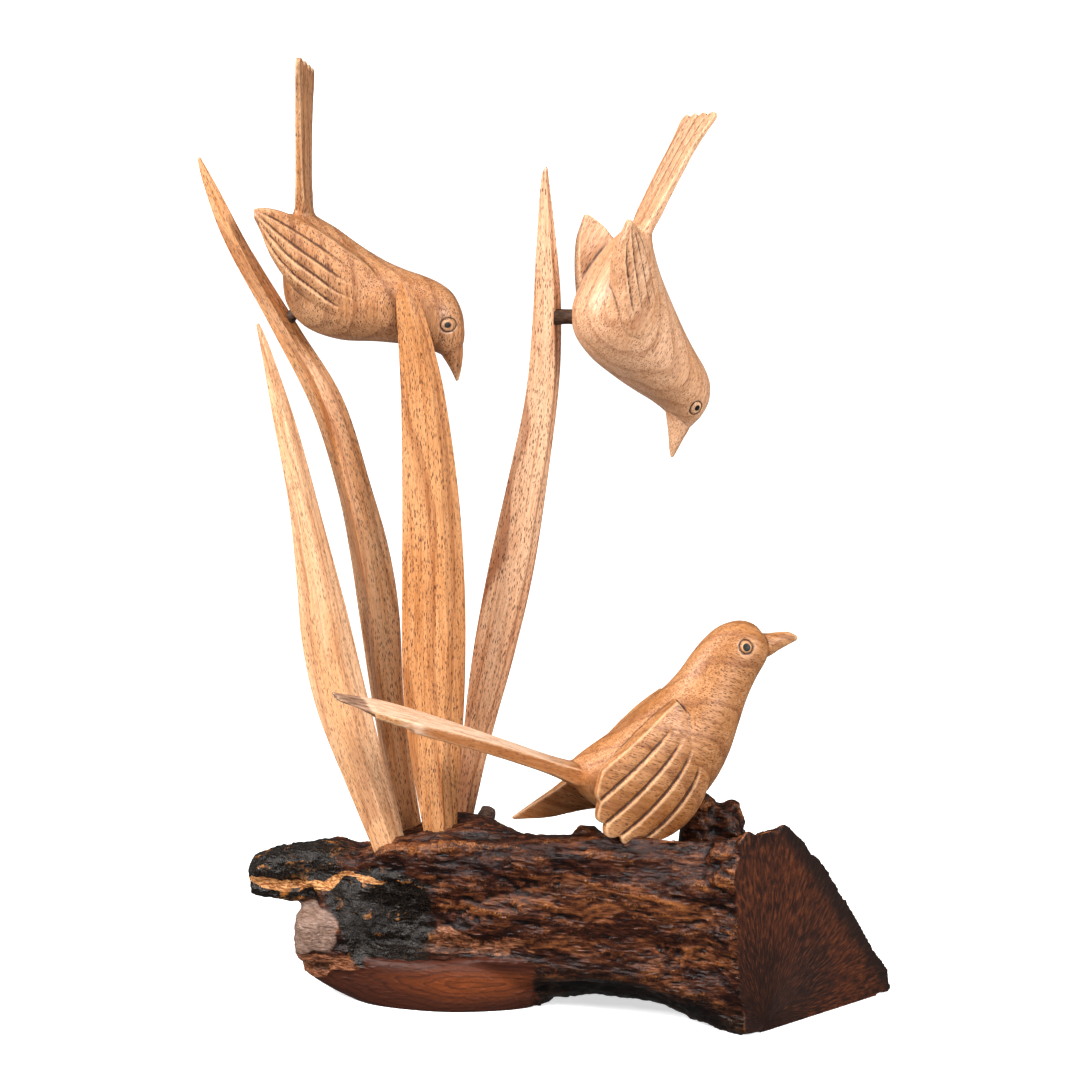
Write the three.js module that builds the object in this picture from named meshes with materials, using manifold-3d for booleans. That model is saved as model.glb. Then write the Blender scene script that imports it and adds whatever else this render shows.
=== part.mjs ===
// A wood carving: three small long-tailed birds and four tall leaf blades on a natural dark root.
// Millimetres, +Z up. The front of the carving faces -Y, and +X is to the right of someone who looks at it.

import * as THREE from "three";
import { mergeVertices } from "three/addons/utils/BufferGeometryUtils.js";
import Module from "manifold-3d";

const wasm = await Module();
wasm.setup();

// Driving dimensions of the whole carving
const PLAN_CENTRE = [4.7, -6.6]; // the middle of the plan in the frame of the sizes below
const GAP = 0.3; // clearance between a piece and the seat cut for it
const FLOOR_CUT = 400; // side of the block that trims the root flat underneath

// Root: the log, one row for each ring from the sawn right end to the left end. A row holds the plan point
// where the ring starts at the front, the bearing of its plane in degrees, then the four corners as
// [depth, height] in the order front low, front high, back high, back low, and how square the ring is.
const LOG_RINGS = [
  [92, -46, 42, -13, -5, -20, 86, 16, 86, 87, -3, 5],
  [82, -44, 45, -11, -5, -16, 83, 19, 80, 86, -4, 4.4],
  [66, -40, 55, -7, -4, -10, 81, 26, 72, 82, -4, 4],
  [46, -35, 66, -4, 3, -8, 82, 32, 65, 80, 2, 3.6],
  [22, -29, 76, -1, 5, -7, 81, 38, 63, 76, 6, 3.6],
  [-4, -24, 84, -1, 2, -5, 78, 42, 63, 72, 2, 3.6],
  [-30, -19, 90, 0, -2, 0, 73, 48, 77, 70, -4, 3.4],
  [-56, -12, 95, 1, 4, 3, 70, 46, 65, 64, 0, 3.4],
  [-74, -6, 98, 2, 10, 4, 62, 40, 56, 54, 8, 3.4],
  [-86, 0, 100, 3, 14, 5, 52, 32, 50, 42, 14, 3.2],
];
const LOG_END = [-92, 16, 32]; // where the log's left end closes
const LOG_CLOSING = [0.35, 0.75]; // shares of the way to that point at which its last rings stand
const BARK_RIDGE = 0.02; // height of the ridges that run along the log, as a share of its half size

// Limbs of the root, each with rows of [x, depth, height, half depth, half height] and its squareness
const LIMBS = {
  prongTop: {
    rows: [[-48, 22, 48, 13, 9], [-72, 19, 50.5, 15, 9], [-88, 17, 53.5, 14, 9], [-103, 15, 54, 12.5, 7.8],
      [-115, 14, 52.5, 11, 6.6], [-121.5, 13.5, 51, 9, 4.6], [-123.5, 13.5, 50, 5, 2.4]],
    squareness: 2.8,
  },
  prongUnder: {
    rows: [[-58, 17, 43, 13, 9], [-84, 15, 43, 13, 6.4], [-102, 14, 43, 11, 4.8],
      [-116, 13, 43.6, 9.5, 3.2], [-122.5, 12.5, 43.8, 7, 2]],
    squareness: 3,
  },
  stump: {
    rows: [[-56, 12, 26, 20, 18], [-78, 8, 26.5, 17, 14.5], [-93, 4, 27, 14, 11.5],
      [-100.5, 3, 27, 11.5, 9.5], [-103, 3, 27.5, 7, 6]],
    squareness: 3.4,
  },
  foot: {
    rows: [[16, 12, 10, 12, 3], [2, 11, 9, 25, 10], [-12, 10, 8, 31, 14.5], [-38, 10, 8, 33.5, 16],
      [-62, 11, 9.5, 29.5, 15.5], [-80, 11, 12, 22, 12.5], [-92, 8, 13.5, 13, 8.5],
      [-99.5, 4, 14.5, 5.5, 4]],
    squareness: 4,
  },
};

// Stubs of broken branches on top of the log, and the knuckle that bends down from the prong to the stump:
// foot point, tip point, foot radius, tip radius
const STUBS = [
  [[-80, -3, 20], [-88, 3, 50], 8, 9],
  [[68, 5, 34], [66, 4, 86], 15, 4],
  [[85, 4, 34], [79, 2, 84], 14, 3],
  [[17, -14, 62], [20, -13, 76.5], 9, 4],
  [[-26, 28, 60], [-21.5, 26, 75], 7, 3.5],
];

// The charred hollow between the knuckle and the log
const HOLLOW = { centre: [-64, -15, 33], radius: 12 };

// Leaf blades. A row holds the left edge [x, height], the right edge [x, height] and the depth there, from
// the end that stands in the root to the tip. A ridge runs up the front, at a share of the width, and the
// edges lie behind it by the set of each face. The blade is full at the middle of its back.
const BLADES = {
  blade_1: {
    rows: [[-66, 53, -54, 56, 4], [-81, 91, -62.5, 85, 4], [-92.5, 122, -68.5, 112, 4],
      [-98.5, 150, -75, 139.5, 5], [-100.5, 177, -81, 166, 5], [-103.5, 210, -90, 201, 6],
      [-109.5, 245, -100, 240, 7], [-114, 272, -110.3, 272.5, 8], [-116, 283, -114.8, 283.5, 8]],
    ridge: [0.62, 0.7, 0.72, 0.5],
    faces: [1.5, 8.5],
    thickness: 7.5,
  },
  blade_2: {
    rows: [[-58, 58, -49, 61, 18], [-65.5, 91, -54, 93, 18], [-71, 123, -57.5, 124, 18],
      [-76, 160, -59, 160, 18], [-79.5, 186, -63, 187, 18], [-84.5, 213, -70, 213, 18],
      [-94.5, 246.5, -81.5, 250.5, 18], [-111, 280.5, -99, 280, 18], [-129, 315, -118.5, 312.5, 17],
      [-136.7, 337, -131.5, 338, 16], [-139.7, 350, -138.4, 350.6, 16]],
    ridge: [0.3, 0.4, 0.35, 0.5],
    faces: [6, 5.5],
    thickness: 7.5,
  },
  blade_3: {
    rows: [[-47, 60, -35.7, 61, 3], [-54, 102, -32.5, 108, 2], [-57, 136, -31, 140, 1],
      [-57, 174, -31, 174, 0], [-56.5, 212, -33.2, 212, -1], [-56.5, 251, -38.2, 252, -3.5],
      [-57.4, 278, -43.3, 276, -5.5], [-58, 293, -48, 292, -7], [-57.2, 301, -53.6, 302, -7.5]],
    ridge: [0.62, 0.7, 0.72, 0.6],
    faces: [4.5, 5],
    thickness: 7,
  },
  blade_4: {
    rows: [[-36, 67, -29.5, 67, 20], [-32.5, 108, -21, 105, 19], [-28, 145, -10.5, 144, 17],
      [-20.8, 184, -2.5, 180, 15], [-12.8, 220, 3.5, 221, 13], [-6, 253, 8, 260, 10],
      [-3, 285, 8.6, 290, 7], [-1.6, 314, 6.9, 314, 5], [0.3, 341, 3.8, 341, 3], [2, 347.3, 3, 347.3, 3]],
    ridge: [0.55, 0.8, 0.78, 0.5],
    faces: [5, 4.5],
    thickness: 6.5,
  },
};

// Birds. Each one is carved about its own upright plane: x towards the head, z up, y to its far side, placed
// at a point and turned about Z. A body row holds a point of the back [x, z], the point of the belly opposite
// [x, z] and half the width there, and a beak row the same. A wing row, from shoulder to tip, holds the upper
// edge [x, y, z], the lower edge [x, y, z], the swell between them and the thickness of the rim. A wing's fan
// [x, z] carries the middle of its end past the straight line, and the far wing may drop below the near one.
// A tail runs from root [x, z] to tip [x, z]. The bend bows it, the roll lifts its far edge, and the slant
// makes its far feathers shorter. An eye is a point [x, z].
const BIRDS = {
  bird_1: {
    place: [-72, 14, 292],
    turn: -10,
    body: [[-26, 39, -29, 37, 3.5], [-20.5, 35, -32.5, 26, 9], [-12, 30, -33.6, 12, 14],
      [-2, 23, -32, -1.5, 17], [8, 17, -24, -11, 18], [17, 13.2, -10, -15.8, 17.5],
      [25, 10.6, 6, -16.4, 15], [31.5, 7.8, 19, -17.6, 12.8], [37, 3.4, 28.5, -19.8, 11.4],
      [40.6, -4, 33, -21.4, 9.2], [41.6, -11.5, 37, -21, 6], [41.4, -16, 39.5, -19.4, 2.5]],
    beak: [[40.5, -13, 30, -18, 4.6], [41.2, -19, 32.5, -21.8, 4], [40.9, -23.5, 34.6, -25, 2.9],
      [40.2, -28, 36.6, -28.6, 1.9], [39.2, -32, 38.2, -32.2, 0.8]],
    tail: { root: [-24.8, 30], tip: [-23.4, 99.4], bend: 0.6, roll: 0, lobe: 3, slant: 6,
      widths: [13, 16, 18, 22, 27], thickness: [8, 4.6, 3.8, 3.2, 2.6] },
    eye: [36.8, -8.2],
    wing: {
      rows: [[11, 11, 7, 9.5, 13.5, -1, 0.8, 5], [5, 11, 14.5, 2, 15, -7, 3.4, 6],
        [-4, 11, 21.5, -7, 16, -7, 4.2, 6], [-14, 10.5, 28.2, -17, 17, 0, 4.2, 6],
        [-24, 10.5, 34, -27.5, 17, 8.5, 4, 5], [-32, 12.5, 37.2, -35, 16.5, 19, 3, 3],
        [-38.5, 14.5, 38.6, -39, 16.5, 29, 2, 2], [-42.2, 15.5, 38, -42.4, 16.2, 35.8, 0.8, 1.6]],
      fan: [0, 0],
      farDrop: 6,
    },
  },
  bird_2: {
    place: [38, 5, 282],
    turn: 30,
    body: [[4.5, 42, 1, 42.5, 3], [7.2, 37.5, -6.5, 37.5, 8], [8, 31, -15, 28, 12.5],
      [10.5, 22.5, -21.5, 18.5, 16], [14.5, 14, -26, 8, 17.5], [19.3, 4.5, -25, -2, 18],
      [24, -4, -18, -11.5, 17], [28.5, -11, -8, -19.4, 15.3], [33, -17.5, 2, -26, 13.4],
      [35.8, -24, 10.5, -31, 11.8], [35.6, -31, 16.8, -35.5, 10], [32.6, -37, 20.5, -39.5, 7],
      [28.4, -41.8, 23.5, -42.5, 3]],
    beak: [[30, -38, 16.5, -35.5, 4.6], [27, -43.5, 17.5, -41.5, 3.9], [24.3, -47.5, 18, -46.6, 2.8],
      [21.8, -51.5, 18.2, -51.3, 1.8], [19.6, -54.8, 18.8, -54.9, 0.8]],
    tail: { root: [0.6, 34], tip: [33, 87], bend: 1, roll: 0, lobe: 3, slant: 3,
      widths: [13, 15, 16.5, 18, 24], thickness: [6.4, 4.6, 3.8, 3.2, 2.6] },
    eye: [24.6, -33.4],
    wing: {
      rows: [[0.5, 17, 2.5, -7, 18, -2.5, 1, 5], [4.5, 14.6, 8.5, -13.5, 17.4, 0.5, 3, 6],
        [3.5, 13.4, 16.5, -16.5, 16.8, 9, 3.4, 6], [1.5, 12.8, 25, -18, 16.4, 18, 3.6, 5],
        [-1, 12.5, 33, -18.6, 15.8, 27, 3.6, 4], [-5.5, 14.2, 39.5, -17.4, 16.6, 35.5, 2.6, 3],
        [-10, 16, 44, -14.6, 17, 42.2, 1.6, 2], [-12.4, 16.6, 45.6, -13.4, 17, 45.2, 0.8, 1.6]],
      fan: [0, 0],
      farDrop: 0,
    },
  },
  bird_3: {
    place: [42, -10, 100],
    turn: 20,
    body: [[-31, 6, -31, 0, 4], [-27.5, 8.6, -28, -6.5, 9], [-20.5, 12.8, -20, -13.5, 13.5],
      [-11.6, 18, -8, -20, 16.5], [-3.4, 24, 5, -23, 18.3], [4.6, 30, 18.5, -18.5, 18.5],
      [11.8, 35.2, 29.8, -7.4, 17.2], [17.8, 41.2, 36.8, 4, 15.4], [23.2, 48.2, 41.4, 16, 13.4],
      [28.6, 54, 45.4, 27, 12], [35, 58.4, 49.2, 35, 11.3], [43, 60.2, 52.2, 40, 10.4],
      [49.3, 58.6, 54.2, 43.5, 8], [53, 54.8, 55, 47, 4.6]],
    beak: [[50, 54.5, 49.5, 42, 4.6], [56.2, 54, 56, 44, 4], [61, 54.2, 60.8, 46.4, 3],
      [65.6, 53.2, 65.2, 48.9, 2], [69.6, 51.2, 69.4, 50.3, 0.9]],
    tail: { root: [-20, -3], tip: [-130.4, 40.2], bend: -1.5, roll: 0.17, lobe: 1, slant: -2,
      widths: [15, 14, 15, 18, 21, 21, 12], thickness: [12, 7, 6, 5.6, 5.6, 5.4, 2.6] },
    eye: [42, 51.1],
    wing: {
      rows: [[11, 12, 31, 23, 14, 14, 0.8, 5], [4, 13.5, 26.5, 24.5, 15, 4, 3, 6],
        [-4.5, 14.5, 20, 23, 16.2, -5.5, 3.4, 6], [-12.5, 15, 14, 19, 16.8, -13.5, 3.2, 5],
        [-19.5, 15, 8.8, 13.2, 17, -20, 2.6, 3.4], [-24.3, 15.2, 5, 6, 16.8, -24.6, 1.4, 2]],
      fan: [-13, -11.5],
      farDrop: 0,
    },
    farWing: {
      rows: [[13, 12.5, 31.5, 22, 15, 16, 0.8, 5], [2, 13.5, 24, 19, 17, -2, 3.2, 6],
        [-10, 14, 13, 8, 17, -13, 3.4, 6], [-21, 14, 2, -8, 16.5, -17, 3, 5],
        [-31, 14.5, -6.5, -22, 16.5, -18.5, 2.4, 3.4], [-40, 15, -12, -36, 16.5, -20.4, 1.6, 2.4],
        [-48, 15.6, -16.8, -46.5, 16, -20, 0.8, 1.8], [-51.5, 16, -19, -51, 16, -20, 0.4, 1.4]],
      fan: [0, 0],
      farDrop: 0,
    },
  },
};
const BLADE_EDGE = 1; // how far the back of a blade draws in, so that its edges come out thin
const FULL_BREADTH = 14; // a blade or a wing narrower than this is thinned in step with its breadth
const FEATHERS = 5; // feathers cut in each wing
const WING_LOBE = 0.05; // share of a wing's length that the end of a feather is rounded over
const FEATHER_EDGE = 0.04; // share of a feather's width that its step down to the next one takes
const FEATHER_STEP = 1; // how far one feather stands over the next
const LAP_STARTS = [0.15, 0.6]; // shares of a wing's length between which the steps rise from nothing
const FULLER = 0.12; // how much fuller a bird is below its middle than above
const TAIL_LOBES = 4; // feather tips at the end of each tail
const TAIL_CROWN = 0.3; // how much thinner the edges of a tail are than its middle
const EYE_RADIUS = 2.4;
const EYE_PROUD = 0.9; // how far an eye swells out of the head

// Pegs that hold a bird to a blade: the end in the blade, the end in the bird, and the diameter
const PEGS = {
  peg_1: { ends: [[-104, 19.6, 283.6], [-96.5, 18, 290.8]], diameter: 5.4 },
  peg_2: { ends: [[5.6, 6.6, 286.2], [17.5, 6.2, 286.2]], diameter: 7 },
};

// How finely each form is faceted
const FACETS = {
  bodyRings: 14,
  bodySides: 16,
  beakRings: 6,
  beakSides: 8,
  wingRows: 8,
  tailRows: 6,
  bladeRings: 17,
  logRings: 22,
  logSides: 26,
  limbRings: 10,
  limbSides: 12,
  stubSides: 9,
  pegSides: 12,
  hollowDetail: 2,
  eyeDetail: 1,
};

const BIRD_WOOD = new THREE.MeshStandardMaterial({ color: 0xc08a52, roughness: 0.5, metalness: 0 });
const BLADE_WOOD = new THREE.MeshStandardMaterial({ color: 0xc9853f, roughness: 0.5, metalness: 0 });
const ROOT_WOOD = new THREE.MeshStandardMaterial({ color: 0x3a2116, roughness: 0.4, metalness: 0 });
const PEG_WOOD = new THREE.MeshStandardMaterial({ color: 0x4a3424, roughness: 0.6, metalness: 0 });

const mix = (a, b, share) => a + (b - a) * share;
const radians = (degrees) => THREE.MathUtils.degToRad(degrees);
const shares = (count) => Array.from({ length: count }, (_, i) => i / (count - 1));

// The sizes at a share of the way through rows of sizes, on a smooth curve through every row
function sizesAt(rows, share) {
  const last = rows.length - 1;
  const first = Math.min(Math.floor(share * last), last - 1);
  const f = share * last - first;
  const row = (k) => rows[THREE.MathUtils.clamp(k, 0, last)];
  const [before, from, to, after] = [row(first - 1), row(first), row(first + 1), row(first + 2)];
  return from.map((value, i) => {
    const slope = (to[i] - before[i]) / 2;
    const nextSlope = (after[i] - value) / 2;
    const rise = to[i] - value;
    return value + f * (slope + f * (3 * rise - 2 * slope - nextSlope + f * (slope + nextSlope - 2 * rise)));
  });
}

// A point of a rounded square at an angle: a circle at squareness 2, squarer above that
function roundedSquare(angle, squareness) {
  const [c, s] = [Math.cos(angle), Math.sin(angle)];
  return [Math.sign(c) * Math.abs(c) ** (2 / squareness), Math.sign(s) * Math.abs(s) ** (2 / squareness)];
}

function indexed(points, faces) {
  const geometry = new THREE.BufferGeometry().setFromPoints(points);
  geometry.setIndex(faces.flat());
  return geometry;
}

// A closed skin over rings of points, with a fan at each end
function skin(rings) {
  const sides = rings[0].length;
  const points = rings.flat();
  const faces = [];
  for (let r = 0; r + 1 < rings.length; r += 1) {
    for (let k = 0; k < sides; k += 1) {
      const [a, b] = [r * sides + k, r * sides + ((k + 1) % sides)];
      faces.push([a, b, b + sides], [a, b + sides, a + sides]);
    }
  }
  for (const [ring, start] of [[rings[0], 0], [rings.at(-1), (rings.length - 1) * sides]]) {
    const middle = ring.reduce((sum, p) => sum.add(p), new THREE.Vector3()).divideScalar(sides);
    points.push(middle);
    for (let k = 0; k < sides; k += 1) {
      const next = (k + 1) % sides;
      faces.push(start ? [start + k, start + next, points.length - 1] : [next, k, points.length - 1]);
    }
  }
  return indexed(points, faces);
}

// A closed plate between two faces, each a grid of rows of points, with a rim all round
function plate(front, back) {
  const [rows, columns] = [front.length, front[0].length];
  const points = [...front.flat(), ...back.flat()];
  const half = rows * columns;
  const at = (r, c) => r * columns + c;
  const faces = [];
  for (let r = 0; r + 1 < rows; r += 1) {
    for (let c = 0; c + 1 < columns; c += 1) {
      const [p, q, s, t] = [at(r, c), at(r, c + 1), at(r + 1, c + 1), at(r + 1, c)];
      faces.push([p, q, s], [p, s, t], [half + p, half + s, half + q], [half + p, half + t, half + s]);
    }
  }
  const rim = [];
  for (let c = 0; c + 1 < columns; c += 1) {
    rim.push([at(0, c), at(0, c + 1)], [at(rows - 1, c + 1), at(rows - 1, c)]);
  }
  for (let r = 0; r + 1 < rows; r += 1) {
    rim.push([at(r + 1, 0), at(r, 0)], [at(r, columns - 1), at(r + 1, columns - 1)]);
  }
  for (const [p, q] of rim) {
    faces.push([p, half + p, half + q], [p, half + q, q]);
  }
  return indexed(points, faces);
}

// A solid from a closed geometry, turned right side out
function solid(geometry) {
  const bare = geometry.clone();
  bare.deleteAttribute("normal");
  bare.deleteAttribute("uv");
  const merged = mergeVertices(bare, 1e-4);
  const index = Array.from(merged.index.array);
  const corners = [];
  for (let i = 0; i < index.length; i += 3) {
    const [a, b, c] = index.slice(i, i + 3);
    if (a !== b && b !== c && a !== c) corners.push(a, b, c);
  }
  const shape = (list) => new wasm.Manifold(new wasm.Mesh({
    numProp: 3,
    vertProperties: Float32Array.from(merged.attributes.position.array),
    triVerts: Uint32Array.from(list),
  }));
  const body = shape(corners);
  return body.volume() > 0 ? body : shape(corners.reverse());
}

function geometryOf(body) {
  const mesh = body.getMesh();
  const geometry = new THREE.BufferGeometry();
  geometry.setAttribute("position", new THREE.Float32BufferAttribute(mesh.vertProperties, 3));
  geometry.setIndex(Array.from(mesh.triVerts));
  return geometry;
}

// The same solid with every corner pushed out along its normal by a clearance
function swollen(body, clearance) {
  const geometry = geometryOf(body);
  geometry.computeVertexNormals();
  const { position, normal } = geometry.attributes;
  const point = new THREE.Vector3();
  const away = new THREE.Vector3();
  for (let i = 0; i < position.count; i += 1) {
    point.fromBufferAttribute(position, i).addScaledVector(away.fromBufferAttribute(normal, i), clearance);
    position.setXYZ(i, point.x, point.y, point.z);
  }
  return solid(geometry);
}

const union = (bodies) => bodies.reduce((whole, body) => whole.add(body));

function logRing(share) {
  const [x, y, bearing, ...sizes] = sizesAt(LOG_RINGS, share);
  const [frontLow, frontHigh, backHigh, backLow] = [0, 2, 4, 6].map((i) => [sizes[i], sizes[i + 1]]);
  const forward = new THREE.Vector2(Math.cos(radians(bearing)), Math.sin(radians(bearing)));
  return Array.from({ length: FACETS.logSides }, (_, k) => {
    const angle = (k / FACETS.logSides) * 2 * Math.PI;
    const ripple = Math.sin(7 * angle + 5 * share) + Math.sin(12 * angle - 9 * share);
    const ridge = 1 + BARK_RIDGE * ripple;
    const [p, q] = roundedSquare(angle, sizes[8]).map((value) => (value * ridge + 1) / 2);
    const [depth, height] = [0, 1].map((i) =>
      mix(mix(frontLow[i], backLow[i], p), mix(frontHigh[i], backHigh[i], p), q));
    return new THREE.Vector3(x + forward.x * depth, y + forward.y * depth, height);
  });
}

function logSolid() {
  const rings = shares(FACETS.logRings).map(logRing);
  const end = new THREE.Vector3(...LOG_END);
  const last = rings.at(-1);
  const closing = LOG_CLOSING.map((share) => last.map((point) => point.clone().lerp(end, share)));
  return solid(skin([...rings, ...closing]));
}

function limbSolid({ rows, squareness }) {
  return solid(skin(shares(FACETS.limbRings).map((share) => {
    const [x, y, z, halfDepth, halfHeight] = sizesAt(rows, share);
    return Array.from({ length: FACETS.limbSides }, (_, k) => {
      const [p, q] = roundedSquare(((k + 0.5) / FACETS.limbSides) * 2 * Math.PI, squareness);
      return new THREE.Vector3(x, y + p * halfDepth, z + q * halfHeight);
    });
  })));
}

// A straight round bar from one point to another, with a radius at each end, or with a clearance all round it
function bar(start, end, startRadius, endRadius, sides, clearance = 0) {
  const [a, b] = [new THREE.Vector3(...start), new THREE.Vector3(...end)];
  const length = a.distanceTo(b) + 2 * clearance;
  const geometry = new THREE.CylinderGeometry(endRadius + clearance, startRadius + clearance, length, sides, 1);
  const up = new THREE.Vector3(0, 1, 0);
  geometry.applyQuaternion(new THREE.Quaternion().setFromUnitVectors(up, b.clone().sub(a).normalize()));
  geometry.translate(...a.add(b).divideScalar(2).toArray());
  return solid(geometry);
}

function rootSolid() {
  const stubs = STUBS.map(([foot, tip, footRadius, tipRadius]) =>
    bar(foot, tip, footRadius, tipRadius, FACETS.stubSides));
  const block = new THREE.BoxGeometry(FLOOR_CUT, FLOOR_CUT, FLOOR_CUT).translate(0, 0, FLOOR_CUT / 2);
  const hollow = new THREE.IcosahedronGeometry(HOLLOW.radius, FACETS.hollowDetail).translate(...HOLLOW.centre);
  const grown = union([logSolid(), ...Object.values(LIMBS).map(limbSolid), ...stubs]);
  return grown.subtract(solid(hollow)).intersect(solid(block));
}

// A leaf blade, or the same blade with a clearance all round it
function bladeSolid({ rows, ridge, faces, thickness }, clearance = 0) {
  return solid(skin(shares(FACETS.bladeRings).map((share) => {
    const [leftX, leftZ, rightX, rightZ, depth] = sizesAt(rows, share);
    const [ridgeShare] = sizesAt(ridge.map((value) => [value]), share);
    const width = Math.hypot(rightX - leftX, rightZ - leftZ);
    const fullness = Math.min(1, width / FULL_BREADTH);
    const wider = 1 + (3 * clearance) / width;
    const across = (part, behind, outward) => {
      const place = 0.5 + (part - 0.5) * wider;
      const y = depth + behind * fullness + outward * clearance;
      return new THREE.Vector3(mix(leftX, rightX, place), y, mix(leftZ, rightZ, place));
    };
    const front = -thickness / 2;
    const [left, right] = faces.map((set) => front + set);
    const hump = thickness - Math.min(...faces) - BLADE_EDGE;
    const back = (part) => across(part, mix(left, right, part) + hump * Math.sin(Math.PI * part) ** 0.7, 1);
    const leftFace = across(ridgeShare / 2, mix(left, front, 0.55), -1);
    const rightFace = across(mix(ridgeShare, 1, 0.5), mix(front, right, 0.45), -1);
    return [across(0, left, 0), leftFace, across(ridgeShare, front, -1), rightFace, across(1, right, 0),
      back(0.8), back(0.5), back(0.2)];
  })));
}

// A round form between back and belly points, fuller below the middle
function roundForm(rows, rings, sides) {
  return solid(skin(shares(rings).map((share) => {
    const [backX, backZ, bellyX, bellyZ, halfWidth] = sizesAt(rows, share);
    return Array.from({ length: sides }, (_, k) => {
      const angle = (k / sides) * 2 * Math.PI;
      const up = (1 + Math.sin(angle)) / 2;
      const side = halfWidth * (1 - FULLER * Math.sin(angle)) * Math.cos(angle);
      return new THREE.Vector3(mix(bellyX, backX, up), side, mix(bellyZ, backZ, up));
    });
  })));
}

// A wing: a plate that swells outwards, with one feather lapping over the next towards the tip
function wingSolid({ rows, fan, farDrop }, side) {
  const parts = fan[0] ? [FEATHER_EDGE, 0.5, 1 - FEATHER_EDGE] : [FEATHER_EDGE, 1 - FEATHER_EDGE];
  const feathers = Array.from({ length: FEATHERS }, (_, feather) => feather);
  const columns = feathers.flatMap((feather) => parts.map((part) => [(feather + part) / FEATHERS, part]));
  columns[0][0] = 0;
  columns.at(-1)[0] = 1;
  const faces = [0, 1].map((inner) => shares(FACETS.wingRows).map((share) => columns.map(([across, part]) => {
    const reach = share - WING_LOBE * share ** 6 * (1 - Math.sin(Math.PI * part));
    const [ux, uy, uz, lx, ly, lz, swell, rim] = sizesAt(rows, reach);
    const breadth = Math.min(1, Math.hypot(ux - lx, uz - lz) / FULL_BREADTH);
    const lap = FEATHER_STEP * breadth * (1 - part) * THREE.MathUtils.smoothstep(share, ...LAP_STARTS);
    const bulge = swell * Math.sin(Math.PI * across) ** 0.8;
    const out = mix(uy, ly, across) + (inner ? -rim : bulge + lap);
    const spread = 4 * across * (1 - across) * reach ** 2;
    const drop = side > 0 ? farDrop * reach ** 2 : 0;
    return new THREE.Vector3(mix(ux, lx, across) + fan[0] * spread, side * out,
      mix(uz, lz, across) + fan[1] * spread - drop);
  })));
  return solid(plate(...faces));
}

// A tail: a plate that widens from root to tip, where its feathers end in lobes
function tailSolid({ root, tip, bend, roll, lobe, slant, widths, thickness }) {
  const [start, end] = [new THREE.Vector2(...root), new THREE.Vector2(...tip)];
  const along = end.clone().sub(start);
  const length = along.length();
  const normal = new THREE.Vector2(-along.y, along.x).divideScalar(length);
  const columns = shares(2 * TAIL_LOBES + 1);
  const faces = [1, -1].map((face) => shares(FACETS.tailRows).map((share) => columns.map((across, c) => {
    const notch = (c % 2 ? 0 : lobe) + slant * across;
    const reach = share - (notch / length) * share ** 3;
    const [width, thick] = sizesAt(widths.map((w, i) => [w, thickness[i]]), reach);
    const crown = 1 - TAIL_CROWN * (2 * across - 1) ** 2;
    const off = (face * thick * crown) / 2 + 4 * bend * reach * (1 - reach);
    const place = start.clone().addScaledVector(along, reach).addScaledVector(normal, off);
    const side = (across - 0.5) * width;
    return new THREE.Vector3(place.x, side, place.y + roll * side * reach);
  })));
  return solid(plate(...faces));
}

// The half width of a round form beside a point [x, z] of its upright plane
function halfWidthAt(rows, [x, z]) {
  const samples = shares(60).flatMap((share) => shares(40).map((up) => [sizesAt(rows, share), up]));
  const off = ([[backX, backZ, bellyX, bellyZ], up]) =>
    Math.hypot(mix(bellyX, backX, up) - x, mix(bellyZ, backZ, up) - z);
  const nearest = samples.reduce((best, sample) => (off(sample) < off(best) ? sample : best));
  const [[, , , , halfWidth], up] = nearest;
  const height = 2 * up - 1;
  return halfWidth * (1 - FULLER * height) * Math.sqrt(1 - height ** 2);
}

function birdSolid({ place, turn, body, beak, tail, eye, wing, farWing = wing }) {
  const sunk = halfWidthAt(body, eye) - EYE_RADIUS + EYE_PROUD;
  const ball = new THREE.IcosahedronGeometry(EYE_RADIUS, FACETS.eyeDetail);
  const eyes = [-1, 1].map((side) => solid(ball.clone().translate(eye[0], side * sunk, eye[1])));
  const carved = union([roundForm(body, FACETS.bodyRings, FACETS.bodySides),
    roundForm(beak, FACETS.beakRings, FACETS.beakSides), tailSolid(tail),
    wingSolid(wing, -1), wingSolid(farWing, 1), ...eyes]);
  return carved.rotate([0, 0, turn]).translate(place);
}

// The pieces, with a seat cut wherever one stands in another

const blades = Object.fromEntries(Object.entries(BLADES).map(([name, sizes]) => [name, bladeSolid(sizes)]));
const birds = Object.fromEntries(Object.entries(BIRDS).map(([name, sizes]) => [name, birdSolid(sizes)]));
const pegs = Object.fromEntries(Object.entries(PEGS).map(([name, { ends, diameter }]) =>
  [name, bar(...ends, diameter / 2, diameter / 2, FACETS.pegSides)]));

const bladeSeats = Object.values(BLADES).map((sizes) => {
  const seat = bladeSolid(sizes, GAP);
  return seat.add(seat.translate([0, 0, -GAP]));
});
const seats = [...bladeSeats, swollen(birds.bird_3, GAP)];
const root = seats.reduce((whole, seat) => whole.subtract(seat), rootSolid());
for (const [peg, blade, bird] of [["peg_1", "blade_2", "bird_1"], ["peg_2", "blade_4", "bird_2"]]) {
  const { ends, diameter } = PEGS[peg];
  const socket = bar(...ends, diameter / 2, diameter / 2, FACETS.pegSides, GAP);
  blades[blade] = blades[blade].subtract(socket);
  birds[bird] = birds[bird].subtract(socket);
}

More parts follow.
